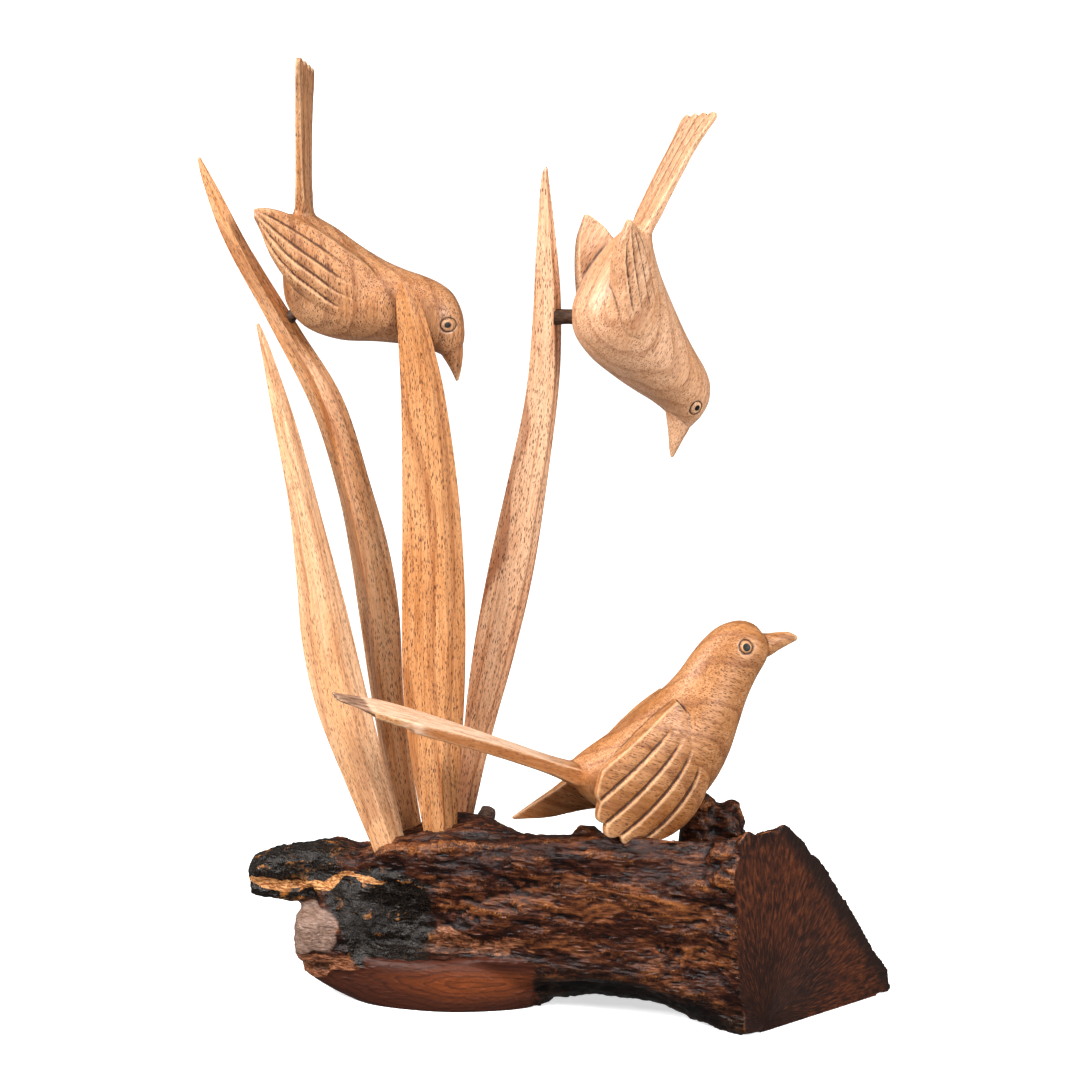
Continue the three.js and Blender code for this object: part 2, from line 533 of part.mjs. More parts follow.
const group = new THREE.Group();
group.position.set(-PLAN_CENTRE[0], -PLAN_CENTRE[1], 0);
const pieces = [[{ root_base: root }, ROOT_WOOD], [blades, BLADE_WOOD], [birds, BIRD_WOOD], [pegs, PEG_WOOD]];
for (const [bodies, material] of pieces) {
  for (const [name, body] of Object.entries(bodies)) {
    const geometry = geometryOf(body.simplify(0.01));
    geometry.computeVertexNormals();
    const mesh = new THREE.Mesh(geometry, material);
    mesh.name = name;
    group.add(mesh);
  }
}

export default group;
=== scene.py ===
"""A wood carving of three long-tailed birds and four leaf blades on a natural dark root.

The sizes below are the carver's: millimetres, +Z up, the front facing -Y, about a plan whose middle is
PLAN_CENTRE. Each piece is worked out in them and goes into its mesh in metres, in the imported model's frame.
"""

import math

import bpy
import numpy as np
from mathutils import Matrix, Vector


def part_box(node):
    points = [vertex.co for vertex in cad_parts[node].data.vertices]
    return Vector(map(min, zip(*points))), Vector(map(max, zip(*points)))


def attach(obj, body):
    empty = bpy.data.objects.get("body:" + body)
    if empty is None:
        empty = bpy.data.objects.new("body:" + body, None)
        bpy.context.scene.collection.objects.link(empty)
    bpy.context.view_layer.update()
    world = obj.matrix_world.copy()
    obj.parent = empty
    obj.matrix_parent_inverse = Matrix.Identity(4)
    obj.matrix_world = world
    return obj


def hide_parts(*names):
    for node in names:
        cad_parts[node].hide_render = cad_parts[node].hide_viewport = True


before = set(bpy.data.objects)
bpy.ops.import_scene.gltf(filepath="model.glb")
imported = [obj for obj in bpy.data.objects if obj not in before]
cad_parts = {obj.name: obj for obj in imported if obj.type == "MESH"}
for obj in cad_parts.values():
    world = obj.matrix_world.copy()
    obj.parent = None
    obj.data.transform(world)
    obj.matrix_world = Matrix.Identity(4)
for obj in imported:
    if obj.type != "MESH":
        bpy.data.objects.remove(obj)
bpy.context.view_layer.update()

MM = 0.001
PLAN_CENTRE = np.array([4.7, -6.6, 0.0])
FLOOR = 0.0

# Root: one row for each ring of the log, from the sawn right end to the left end. A row holds the plan point
# where the ring starts at the front, the bearing of its plane in degrees, the four corners as [depth, height]
# in the order front low, front high, back high, back low, and how square the ring is.
LOG_RINGS = [
    [92, -46, 42, -13, -5, -20, 86, 16, 86, 87, -3, 5],
    [82, -44, 45, -11, -5, -16, 83, 19, 80, 86, -4, 4.4],
    [66, -40, 55, -7, -4, -10, 81, 26, 72, 82, -4, 4],
    [46, -35, 66, -4, 3, -8, 82, 32, 65, 80, 2, 3.6],
    [22, -29, 76, -1, 5, -7, 81, 38, 63, 76, 6, 3.6],
    [-4, -24, 84, -1, 2, -5, 78, 42, 63, 72, 2, 3.6],
    [-30, -19, 90, 0, -2, 0, 73, 48, 77, 70, -4, 3.4],
    [-56, -12, 95, 1, 4, 3, 70, 46, 65, 64, 0, 3.4],
    [-74, -6, 98, 2, 10, 4, 62, 40, 56, 54, 8, 3.4],
    [-86, 0, 100, 3, 14, 5, 52, 32, 50, 42, 14, 3.2],
]
LOG_END = [-92, 16, 32]
LOG_CLOSING = [0.35, 0.75]

# Limbs of the root: rows of [x, depth, height, half depth, half height], and how square the section is
LIMBS = {
    "prong_top": ([
        [-48, 22, 48, 13, 9], [-72, 19, 50.5, 15, 9], [-88, 17, 53.5, 14, 9], [-103, 15, 54, 12.5, 7.8],
        [-115, 14, 52.5, 11, 6.6], [-121.5, 13.5, 51, 9, 4.6], [-123.5, 13.5, 50, 5, 2.4]], 2.8),
    "prong_under": ([
        [-58, 17, 43, 13, 9], [-84, 15, 43, 13, 6.4], [-102, 14, 43, 11, 4.8], [-116, 13, 43.6, 9.5, 3.2],
        [-122.5, 12.5, 43.8, 7, 2]], 3),
    "stump": ([
        [-56, 12, 26, 20, 18], [-78, 8, 26.5, 17, 14.5], [-93, 4, 27, 14, 11.5], [-100.5, 3, 27, 11.5, 9.5],
        [-103, 3, 27.5, 7, 6]], 3.4),
    "foot": ([
        [16, 12, 10, 12, 3], [2, 11, 9, 25, 10], [-12, 10, 8, 31, 14.5], [-38, 10, 8, 33.5, 16],
        [-62, 11, 9.5, 29.5, 15.5], [-80, 11, 12, 22, 12.5], [-92, 8, 13.5, 13, 8.5],
        [-99.5, 4, 14.5, 5.5, 4]], 4),
}

# Stubs of broken branches: foot, tip, radius at the foot and at the tip. The last one is weathered within an
# ellipsoid of the half sizes below round its tip.
STUBS = [
    [[68, 5, 34], [66.5, 4, 85], 15, 6.5],
    [[85, 4, 34], [77.5, 3, 82], 14, 5.5],
    [[17, -14, 62], [20, -13, 76.5], 9, 4],
    [[-26, 28, 60], [-21.5, 26, 75], 7, 3.5],
]
WEATHERED_TIP = [11, 11, 8]

# The burnt knuckle: rows of [x, depth, height, radius], from under the prong to the foot
KNUCKLE = [[-93, 10, 50, 10], [-87, 4, 43, 8], [-82.5, -2, 35, 6.5], [-80.5, -5, 27, 6], [-80, -4, 19, 7],
           [-80, 0, 12, 9]]

# Hollows of the root: the cove beside the knuckle, by its middle [x, height] and half sizes [x, height], and
# the recess above the smooth-cut foot, whose depth falls from left to right
COVE = [-53.0, 34.0, 17.0, 15.0]
COVE_DEPTH = 8.5
FOOT_EDGE = 21.5
FOOT_RISE = 0.04
RECESS_DEPTHS = (7.5, 2.0)

# Burnt places of the root: middle, half sizes and strength. The scorched one lies by the feet of the blades.
BURNT = [
    [[-68, -8, 42], [34, 30, 22], 1.0],
    [[-64, -14, 30], [30, 30, 26], 1.0],
    [[-104, 14, 50], [44, 26, 26], 0.9],
]
SCORCHED = [[-52, 12, 62], [9, 16, 9], 0.8]

# The heart in the cut foot's wood: its middle [x, height] and half sizes [x, height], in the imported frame
HEART = [-33.0, 12.0, 50.0, 8.5]

# Ways along and across the log and out of its front, and the sawn end: a point of its plane, its bearing, the
# ways along it and out of it, and the pith above the point
LOG_AXIS = np.array([-0.9476, 0.3193, 0.0])
LOG_SIDE = np.array([0.3193, 0.9476, 0.0])
FRONT_LEFT = np.array([-0.5, -0.85, 0.0])
SAW_POINT = np.array([92.0, -46.0, 0.0])
SAW_BEARING = math.radians(42)
SAW_ALONG = np.array([math.cos(SAW_BEARING), math.sin(SAW_BEARING), 0.0])
SAW_NORMAL = np.array([math.sin(SAW_BEARING), -math.cos(SAW_BEARING), 0.0])
PITH = np.array([0.0, 0.0, 4.0])

# Cells of the two remeshes, and the depth of a full hollow
ROUGH_CELL = 1.4
ROOT_CELL = 1.0
ROOT_HOLLOW = 1.8

# Leaf blades: rows of left edge [x, height], right edge [x, height] and depth, from the foot to the tip, the
# share of the width at which the ridge runs, how far each edge lies behind it, and the thickness
BLADES = {
    "blade_1": ([
        [-66, 53, -54, 56, 4], [-81, 91, -62.5, 85, 4], [-92.5, 122, -68.5, 112, 4],
        [-98.5, 150, -75, 139.5, 5], [-100.5, 177, -81, 166, 5], [-103.5, 210, -90, 201, 6],
        [-109.5, 245, -100, 240, 7], [-114, 272, -110.3, 272.5, 8], [-116, 283, -114.8, 283.5, 8]],
        [0.62, 0.7, 0.72, 0.5], [1.5, 8.5], 7.5),
    "blade_2": ([
        [-58, 58, -49, 61, 18], [-65.5, 91, -54, 93, 18], [-71, 123, -57.5, 124, 18],
        [-76, 160, -59, 160, 18], [-79.5, 186, -63, 187, 18], [-84.5, 213, -70, 213, 18],
        [-94.5, 246.5, -81.5, 250.5, 18], [-111, 280.5, -99, 280, 18], [-129, 315, -118.5, 312.5, 17],
        [-136.7, 337, -131.5, 338, 16], [-139.7, 350, -138.4, 350.6, 16]],
        [0.2, 0.28, 0.34, 0.62, 0.78], [6, 5.5], 7.5),
    "blade_3": ([
        [-47, 60, -35.7, 61, 3], [-54, 102, -32.5, 108, 2], [-57, 136, -31, 140, 1], [-57, 174, -31, 174, 0],
        [-56.5, 212, -33.2, 212, -1], [-56.5, 251, -38.2, 252, -3.5], [-57.4, 278, -43.3, 276, -5.5],
        [-58, 293, -48, 292, -7], [-57.2, 301, -53.6, 302, -7.5]],
        [0.62, 0.7, 0.72, 0.6], [4.5, 5], 7),
    "blade_4": ([
        [-36, 67, -29.5, 67, 20], [-32.5, 108, -21, 105, 19], [-28, 145, -10.5, 144, 17],
        [-20.8, 184, -2.5, 180, 15], [-12.8, 220, 3.5, 221, 13], [-6, 253, 8, 260, 10],
        [-3, 285, 8.6, 290, 7], [-1.6, 314, 6.9, 314, 5], [0.3, 341, 3.8, 341, 3], [2, 347.3, 3, 347.3, 3]],
        [0.55, 0.8, 0.78, 0.5], [5, 4.5], 6.5),
}
BLADE_EDGE = 1.0
FULL_BREADTH = 14.0

# Birds, each about its own upright plane: x towards the head, z up, y to its far side. Body and beak rows are
# [back x, back z, belly x, belly z, half width]. Wing rows, from shoulder to tip, are the upper edge, the
# lower edge, the swell between them and the thickness of the rim. A tail's breaks are the shares of its
# length at which its top drops, and by how much.
BIRDS = {
    "bird_1": dict(
        place=[-72, 14, 292], turn=-10, cell=0.46, eye=[36.8, -8.2], pupil=1.15,
        body=[
            [-26, 39, -29, 37, 3.5], [-20.5, 35, -32.5, 26, 9], [-12, 30, -33.6, 12, 14],
            [-2, 23, -32, -1.5, 17], [8, 17, -24, -11, 18], [17, 13.2, -10, -15.8, 17.5],
            [25, 10.6, 6, -16.4, 15], [31.5, 7.8, 19, -17.6, 12.8], [37, 3.4, 28.5, -19.8, 11.4],
            [40.6, -4, 33, -21.4, 9.2], [41.6, -11.5, 37, -21, 6], [41.4, -16, 39.5, -19.4, 2.5]],
        beak=[
            [40.5, -13, 30, -18, 4.6], [41.2, -19, 32.5, -21.8, 4], [40.9, -23.5, 34.6, -25, 2.9],
            [40.2, -28, 36.6, -28.6, 1.9], [39.2, -32, 38.2, -32.2, 0.8]],
        tail=dict(
            root=[-24.8, 30], tip=[-23.4, 99.4], bend=0.6, roll=0, lobe=3, slant=6,
            widths=[13, 16, 18, 22, 27], thickness=[8, 4.6, 3.8, 3.2, 2.6]),
        wings=[dict(fan=[0, 0], far_drop=6, rows=[
            [11, 11, 7, 9.5, 13.5, -1, 0.8, 5], [5, 11, 14.5, 2, 15, -7, 3.4, 6],
            [-4, 11, 21.5, -7, 16, -7, 4.2, 6], [-14, 10.5, 28.2, -17, 17, 0, 4.2, 6],
            [-24, 10.5, 34, -27.5, 17, 8.5, 4, 5], [-32, 12.5, 37.2, -35, 16.5, 19, 3, 3],
            [-38.5, 14.5, 38.6, -39, 16.5, 29, 2, 2], [-42.2, 15.5, 38, -42.4, 16.2, 35.8, 0.8, 1.6]])]),
    "bird_2": dict(
        place=[38, 5, 282], turn=30, cell=0.46, eye=[24.6, -33.4], pupil=1.2,
        body=[
            [4.5, 42, 1, 42.5, 3], [7.2, 37.5, -6.5, 37.5, 8], [8, 31, -15, 28, 12.5],
            [10.5, 22.5, -21.5, 18.5, 16], [14.5, 14, -26, 8, 17.5], [19.3, 4.5, -25, -2, 18],
            [24, -4, -18, -11.5, 17], [28.5, -11, -8, -19.4, 15.3], [33, -17.5, 2, -26, 13.4],
            [35.8, -24, 10.5, -31, 11.8], [35.6, -31, 16.8, -35.5, 10], [32.6, -37, 20.5, -39.5, 7],
            [28.4, -41.8, 23.5, -42.5, 3]],
        beak=[
            [30, -38, 16.5, -35.5, 4.6], [27, -43.5, 17.5, -41.5, 3.9], [24.3, -47.5, 18, -46.6, 2.8],
            [21.8, -51.5, 18.2, -51.3, 1.8], [19.6, -54.8, 18.8, -54.9, 0.8]],
        tail=dict(
            root=[0.6, 34], tip=[33, 87], bend=1, roll=0, lobe=3, slant=3, widths=[13, 15, 16.5, 18, 24],
            thickness=[6.4, 4.6, 3.8, 3.2, 2.6]),
        wings=[dict(fan=[0, 0], far_drop=0, rows=[
            [0.5, 17, 2.5, -7, 18, -2.5, 1, 5], [4.5, 14.6, 8.5, -13.5, 17.4, 0.5, 3, 6],
            [3.5, 13.4, 16.5, -16.5, 16.8, 9, 3.4, 6], [1.5, 12.8, 25, -18, 16.4, 18, 3.6, 5],
            [-1, 12.5, 33, -18.6, 15.8, 27, 3.6, 4], [-5.5, 14.2, 39.5, -17.4, 16.6, 35.5, 2.6, 3],
            [-10, 16, 44, -14.6, 17, 42.2, 1.6, 2], [-12.4, 16.6, 45.6, -13.4, 17, 45.2, 0.8, 1.6]])]),
    "bird_3": dict(
        place=[42, -10, 100], turn=20, cell=0.54, eye=[42, 51.1], pupil=1.6,
        body=[
            [-31, 6, -31, 0, 4], [-27.5, 8.6, -28, -6.5, 9], [-20.5, 12.8, -20, -13.5, 13.5],
            [-11.6, 18, -8, -20, 16.5], [-3.4, 24, 5, -23, 18.3], [4.6, 30, 18.5, -18.5, 18.5],
            [11.8, 35.2, 29.8, -7.4, 17.2], [17.8, 41.2, 36.8, 4, 15.4], [23.2, 48.2, 41.4, 16, 13.4],
            [28.6, 54, 45.4, 27, 12], [35, 58.4, 49.2, 35, 11.3], [43, 60.2, 52.2, 40, 10.4],
            [49.3, 58.6, 54.2, 43.5, 8], [53, 54.8, 55, 47, 4.6]],
        beak=[
            [50, 54.5, 49.5, 42, 4.6], [56.2, 54, 56, 44, 4], [61, 54.2, 60.8, 46.4, 3],
            [65.8, 53.9, 65.4, 48.4, 2.1], [69.6, 52, 69.4, 50, 1.1]],
        tail=dict(
            root=[-20, -3], tip=[-130.4, 40.2], bend=-1.5, roll=0.17, lobe=1, slant=-2,
            widths=[15, 14, 15, 18, 21, 20, 9], thickness=[12, 7.6, 7, 6.8, 6.4, 5.6, 4.2],
            breaks=[[0.74, 1.1], [0.885, 1.3]]),
        wings=[dict(fan=[-13, -11.5], far_drop=0, rows=[
            [11, 12, 31, 23, 14, 14, 0.8, 5], [4, 13.5, 26.5, 24.5, 15, 4, 3, 6],
            [-4.5, 14.5, 20, 23, 16.2, -5.5, 3.4, 6], [-12.5, 15, 14, 19, 16.8, -13.5, 3.2, 5],
            [-19.5, 15, 8.8, 13.2, 17, -20, 2.6, 3.4], [-24.3, 15.2, 5, 6, 16.8, -24.6, 1.4, 2]]),
            dict(fan=[0, 0], far_drop=0, rows=[
            [13, 12.5, 31.5, 22, 15, 16, 0.8, 5], [2, 13.5, 24, 19, 17, -2, 3.2, 6],
            [-10, 14, 13, 8, 17, -13, 3.4, 6], [-21, 14, 2, -8, 16.5, -17, 3, 5],
            [-31, 14.5, -6.5, -22, 16.5, -18.5, 2.4, 3.4], [-40, 15, -12, -36, 16.5, -20.4, 1.6, 2.4],
            [-48, 15.6, -16.8, -46.5, 16, -20, 0.8, 1.8], [-51.5, 16, -19, -51, 16, -20, 0.4, 1.4]])]),
}
FULLER = 0.12
TAIL_LOBES = 4
TAIL_CROWN = 0.3
TAIL_BLEND = (9, 15)
EYE_RADIUS = 2.4
EYE_RING = 2.85
EYE_HEIGHT = 0.5
BIRD_HOLLOW = 0.45

# Wing feathers: how many, the share of each left out at its edges, its step and cut in millimetres, how far
# its lobe reaches, and the shares of the wing over which steps and cuts rise
FEATHERS = 5
FEATHER_EDGE = 0.03
FEATHER_STEP = 1.3
FEATHER_CUT = 0.8
FEATHER_CROWN = 0.4
WING_LOBE = 0.05
STEP_RISE = (0.12, 0.45)
CUT_RISE = (0.15, 0.75)

# Pegs: the end in the blade, the end in the bird, and the diameter
PEGS = {
    "peg_1": ([-104, 19.6, 283.6], [-96.5, 18, 290.8], 5.4),
    "peg_2": ([5.6, 6.6, 286.2], [17.5, 6.2, 286.2], 7.0),
}

# Woods: light, middle, dark and pore colour, the width of a growth ring, and how strong rings and pores are
WOODS = {
    "bird_1": ("cb9a70", "ad7444", "7a431f", "4f240d", 9.0, 0.5, 0.95),
    "bird_2": ("e2b795", "cc9970", "965c32", "6a3818", 8.0, 0.4, 0.8),
    "bird_3": ("cb9566", "aa7039", "7e451b", "52270e", 10.0, 0.5, 0.75),
    "blade_1": ("f0c7a0", "dfa877", "a5643a", "6c3517", 7.0, 0.45, 0.7),
    "blade_2": ("f3c69c", "dc9a60", "9a5220", "4f220a", 7.0, 0.45, 0.75),
    "blade_3": ("dda573", "c8874d", "92501f", "55270f", 6.0, 0.5, 0.85),
    "blade_4": ("eec4a0", "d89d72", "9a5830", "5a2b12", 5.0, 0.75, 0.9),
}

# Studio and camera, their places and sizes in metres
STUDIO_REACH = 4.0
WALL_SIDES = 48
SURROUND = 0.18
LAMP_AIM = (0, 0, 0.18)
EXPOSURE = 0.2
GAMMA = 0.88
CAMERA_AIM = Vector((-0.0047, 0.0066, 0.195))
CAMERA_RANGE = 1.233
CAMERA_RISE = math.radians(10)
LENS = 100
SENSOR = 36

# The random values and the primes behind the noise, and the way from one seed to the next
LATTICE_SIZE = 4096
LATTICE = np.random.default_rng(11).random(LATTICE_SIZE) * 2 - 1
LATTICE_PRIMES = np.array([73856093, 19349663, 83492791])
SEED_SHIFT = 31.7

# Fairing: the share of the way to the mean of the neighbours, and the share back again
FAIR_IN = 0.5
FAIR_OUT = 0.53


def round_turn(count):
    """Angles evenly round a full turn."""
    return np.linspace(0, 2 * np.pi, count, endpoint=False)


def mix(a, b, share):
    """The value a share of the way from a to b."""
    return a + (b - a) * share


def smooth(value, low, high):
    """The smooth step: 0 below low, 1 above high, and 3t^2 - 2t^3 between them."""
    t = np.clip((np.asarray(value, float) - low) / (high - low), 0, 1)
    return t * t * (3 - 2 * t)


def fall(value, low, high):
    """The smooth step turned over: 1 below low and 0 above high."""
    return 1 - smooth(value, low, high)


def sizes_at(rows, share):
    """Rows of sizes read at shares of the way through them, on the cubic curve that passes every row with the
    slope of its two neighbours."""
    rows, share = np.asarray(rows, float), np.asarray(share, float)
    last = len(rows) - 1
    first = np.clip(np.floor(share * last).astype(int), 0, last - 1)
    f = (share * last - first)[..., None]
    before, start, end, after = (rows[np.clip(first + k, 0, last)] for k in (-1, 0, 1, 2))
    slope, next_slope, rise = (end - before) / 2, (after - start) / 2, end - start
    return start + f * (slope + f * (3 * rise - 2 * slope - next_slope + f * (slope + next_slope - 2 * rise)))


def columns(sizes):
    """The columns of an array of sizes, each as an array of its own."""
    return np.moveaxis(sizes, -1, 0)


def noise(points, size, seed=0):
    """Value noise between -1 and 1: a random value at each corner of a cube lattice of the given size, and
    between the corners their blend by the smooth curve 3t^2 - 2t^3 along each axis."""
    p = points / np.asarray(size, float) + SEED_SHIFT * (seed + 1)
    base = np.floor(p).astype(np.int64)
    f = p - base
    f = f * f * (3 - 2 * f)
    total = np.zeros(len(p))
    for corner in np.ndindex(2, 2, 2):
        corner = np.array(corner)
        keys = (base + corner) * LATTICE_PRIMES
        value = LATTICE[(keys[:, 0] ^ keys[:, 1] ^ keys[:, 2]) & (LATTICE_SIZE - 1)]
        total += value * np.prod(np.where(corner, f, 1 - f), axis=1)
    return total


def layered(points, size, seed=0, layers=4):
    """Noise of the given size and its halvings, each layer half as strong as the one before."""
    size = np.asarray(size, float)
    return sum(noise(points, size / 2**k, seed + k) / 2**k for k in range(layers)) / 1.6


def skin(rings):
    """A closed tube over a grid of points (ring, side), with a fan of triangles over each end."""
    count, sides = rings.shape[:2]
    points = np.concatenate([rings.reshape(-1, 3), rings[:1].mean(1), rings[-1:].mean(1)])
    side = np.arange(sides)
    after = (side + 1) % sides
    ring = np.arange(count - 1)[:, None] * sides
    quads = np.stack([ring + side, ring + after, ring + after + sides, ring + side + sides], -1)
    last, end = (count - 1) * sides, count * sides
    first_fan = np.stack([after, side, np.full(sides, end)], 1)
    last_fan = np.stack([last + side, last + after, np.full(sides, end + 1)], 1)
    return points, [quads.reshape(-1, 4), first_fan, last_fan]


def plate(front, back):
    """A closed plate between two grids of points, with a rim all round."""
    rows, cols = front.shape[:2]
    half = rows * cols
    index = np.arange(half).reshape(rows, cols)
    corners = (index[:-1, :-1], index[:-1, 1:], index[1:, 1:], index[1:, :-1])
    a, b, c, d = (corner.ravel() for corner in corners)
    rim = np.concatenate([index[0], index[1:, -1], index[-1, -2::-1], index[-2:0:-1, 0]])
    after = np.roll(rim, -1)
    quads = np.concatenate([np.stack([a, b, c, d], 1), np.stack([a, d, c, b], 1) + half,
                            np.stack([rim, rim + half, after + half, after], 1)])
    return np.concatenate([front.reshape(-1, 3), back.reshape(-1, 3)]), [quads]


def volume(points, faces):
    """Six times the volume inside a closed surface: the sum of the corner products of its triangles."""
    total = 0.0
    for face in faces:
        for k in range(1, face.shape[1] - 1):
            a, b, c = points[face[:, 0]], points[face[:, k]], points[face[:, k + 1]]
            total += np.einsum("ij,ij->", a, np.cross(b, c))
    return total


def mesh_of(name, points, faces):
    """A mesh from points and arrays of faces, turned right side out."""
    if volume(points, faces) < 0:
        faces = [face[:, ::-1] for face in faces]
    corners = np.concatenate([face.ravel() for face in faces])
    sizes = np.concatenate([np.full(len(face), face.shape[1]) for face in faces])
    mesh = bpy.data.meshes.new(name)
    mesh.vertices.add(len(points))
    mesh.vertices.foreach_set("co", np.asarray(points, np.float32).ravel())
    mesh.loops.add(len(corners))
    mesh.loops.foreach_set("vertex_index", corners.astype(np.int32))
    mesh.polygons.add(len(sizes))
    mesh.polygons.foreach_set("loop_start", np.concatenate([[0], np.cumsum(sizes)[:-1]]).astype(np.int32))
    mesh.update(calc_edges=True)
    return mesh


def placed(name, data):
    """A new object in the scene, at the origin."""
    piece = bpy.data.objects.new(name, data)
    bpy.context.scene.collection.objects.link(piece)
    return piece


def grown_together(name, shells, cell):
    """One skin over closed shells that run into each other: a voxel remesh of them all."""
    points, faces, count = [], [], 0
    for shell_points, shell_faces in shells:
        points.append(shell_points)
        faces += [face + count for face in shell_faces]
        count += len(shell_points)
    piece = placed(name, mesh_of(name, np.concatenate(points), faces))
    remesh = piece.modifiers.new("skin", "REMESH")
    remesh.mode = "VOXEL"
    remesh.voxel_size = cell
    remesh.adaptivity = 0
    shaped = bpy.data.meshes.new_from_object(piece.evaluated_get(bpy.context.evaluated_depsgraph_get()))
    old = piece.data
    piece.modifiers.clear()
    piece.data = shaped
    bpy.data.meshes.remove(old)
    return piece


class Surface:
    """The points of a piece's mesh, with what is needed to fair and carve them."""

    def __init__(self, piece):
        self.mesh = piece.data
        self.points = np.empty(len(self.mesh.vertices) * 3, np.float32)
        self.mesh.vertices.foreach_get("co", self.points)
        self.points = self.points.reshape(-1, 3).astype(float)
        edges = np.empty(len(self.mesh.edges) * 2, np.int32)
        self.mesh.edges.foreach_get("vertices", edges)
        start, end = edges.reshape(-1, 2).T
        self.ends = np.concatenate([start, end])
        self.others = np.concatenate([end, start])
        self.valence = np.maximum(np.bincount(self.ends, minlength=len(self.points)), 1)

    def around(self, values):
        """The mean of a value over the neighbours of each point."""
        count = len(self.points)
        sums = [np.bincount(self.ends, column[self.others], count) for column in values.reshape(count, -1).T]
        return np.stack(sums, 1) / self.valence[:, None]

    def fair(self, rounds, weight=1.0, keep=True):
        """Moves each point towards the mean of its neighbours, and with keep a little further back again, so
        that the form does not shrink."""
        weight = np.broadcast_to(np.asarray(weight, float), len(self.points))[:, None]
        for _ in range(rounds):
            self.points += FAIR_IN * weight * (self.around(self.points) - self.points)
            if keep:
                self.points -= FAIR_OUT * weight * (self.around(self.points) - self.points)

    def normals(self):
        self.store()
        normals = np.empty(len(self.points) * 3, np.float32)
        self.mesh.vertex_normals.foreach_get("vector", normals)
        return normals.reshape(-1, 3).astype(float)

    def store(self):
        self.mesh.vertices.foreach_set("co", self.points.astype(np.float32).ravel())
        self.mesh.update()

    def keep(self, name, values):
        """Stores a value for each point, which a finish reads by name."""
        layer = self.mesh.attributes.new(name, "FLOAT", "POINT")
        layer.data.foreach_set("value", np.asarray(values, np.float32))

    def keep_hollows(self, depth):
        """Keeps how far each point lies in a hollow, from 0 on a ridge to 1: half, plus the way along its
        normal to the smoothed surface over the given depth."""
        normals, blurred = self.normals(), self.points.copy()
        for _ in range(8):
            blurred += 0.6 * (self.around(blurred) - blurred)
        way = np.einsum("ij,ij->i", blurred - self.points, normals)
        self.keep("hollow", np.clip(0.5 + way / depth, 0, 1))


def finished(piece, node, material, surface=None):
    """Puts a piece made in the carver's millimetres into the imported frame, smooth shaded, as its node."""
    surface = surface or Surface(piece)
    low, high = (np.array(corner) / MM + PLAN_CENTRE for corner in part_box(node))
    surface.points = np.clip(surface.points, low, high)
    surface.points = (surface.points - PLAN_CENTRE) * MM
    surface.store()
    piece.data.polygons.foreach_set("use_smooth", np.ones(len(piece.data.polygons), bool))
    piece.data.materials.clear()
    piece.data.materials.append(material)
    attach(piece, "root")
    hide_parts(node)


# Birds

def round_form(rows, rings, sides):
    """A round form between points of its back and its belly. At an angle a round it, a point stands a share
    (1 + sin a) / 2 of the way from belly to back, and cos a times the half width aside, fuller below."""
    back_x, back_z, belly_x, belly_z, half_width = columns(sizes_at(rows, np.linspace(0, 1, rings)[:, None]))
    angle = round_turn(sides)
    up = (1 + np.sin(angle)) / 2
    side = half_width * (1 - FULLER * np.sin(angle)) * np.cos(angle)
    return skin(np.stack([mix(belly_x, back_x, up), side, mix(belly_z, back_z, up)], -1))


def wing(sizes, side, rows=170, strands=22):
    """A wing as a plate between its upper and lower edges, which swells by the sine of the way across. Each
    feather stands over the next by a step that rises from nothing along the wing, with a cut at its foot that
    falls off as exp(-t^2), and ends in a lobe."""
    share = np.linspace(0, 1, rows)[:, None]
    part = np.tile(np.linspace(FEATHER_EDGE, 1 - FEATHER_EDGE, strands), FEATHERS)[None]
    across = (np.repeat(np.arange(FEATHERS), strands)[None] + part) / FEATHERS
    across[0, 0], across[0, -1] = 0, 1
    reach = share - WING_LOBE * share**6 * (1 - np.sin(np.pi * part))
    ux, uy, uz, lx, ly, lz, swell, rim = columns(sizes_at(sizes["rows"], reach))
    breadth = np.minimum(1, np.hypot(ux - lx, uz - lz) / FULL_BREADTH)
    rise = breadth * smooth(share, *STEP_RISE)
    lap = FEATHER_STEP * rise * (1 - part)
    lap -= FEATHER_CUT * breadth * smooth(share, *CUT_RISE) * np.exp(-((1 - part) / 0.12) ** 2)
    crown = FEATHER_CROWN * rise * np.sin(np.pi * part)
    bulge = swell * np.sin(np.pi * across) ** 0.8
    spread = 4 * across * (1 - across) * reach**2
    drop = sizes["far_drop"] * reach**2 if side > 0 else 0
    x = mix(ux, lx, across) + sizes["fan"][0] * spread
    z = mix(uz, lz, across) + sizes["fan"][1] * spread - drop
    outer, inner = (side * (mix(uy, ly, across) + out) for out in (bulge + lap + crown, -rim))
    return plate(np.stack([x, outer, z], -1), np.stack([x, inner, z], -1))


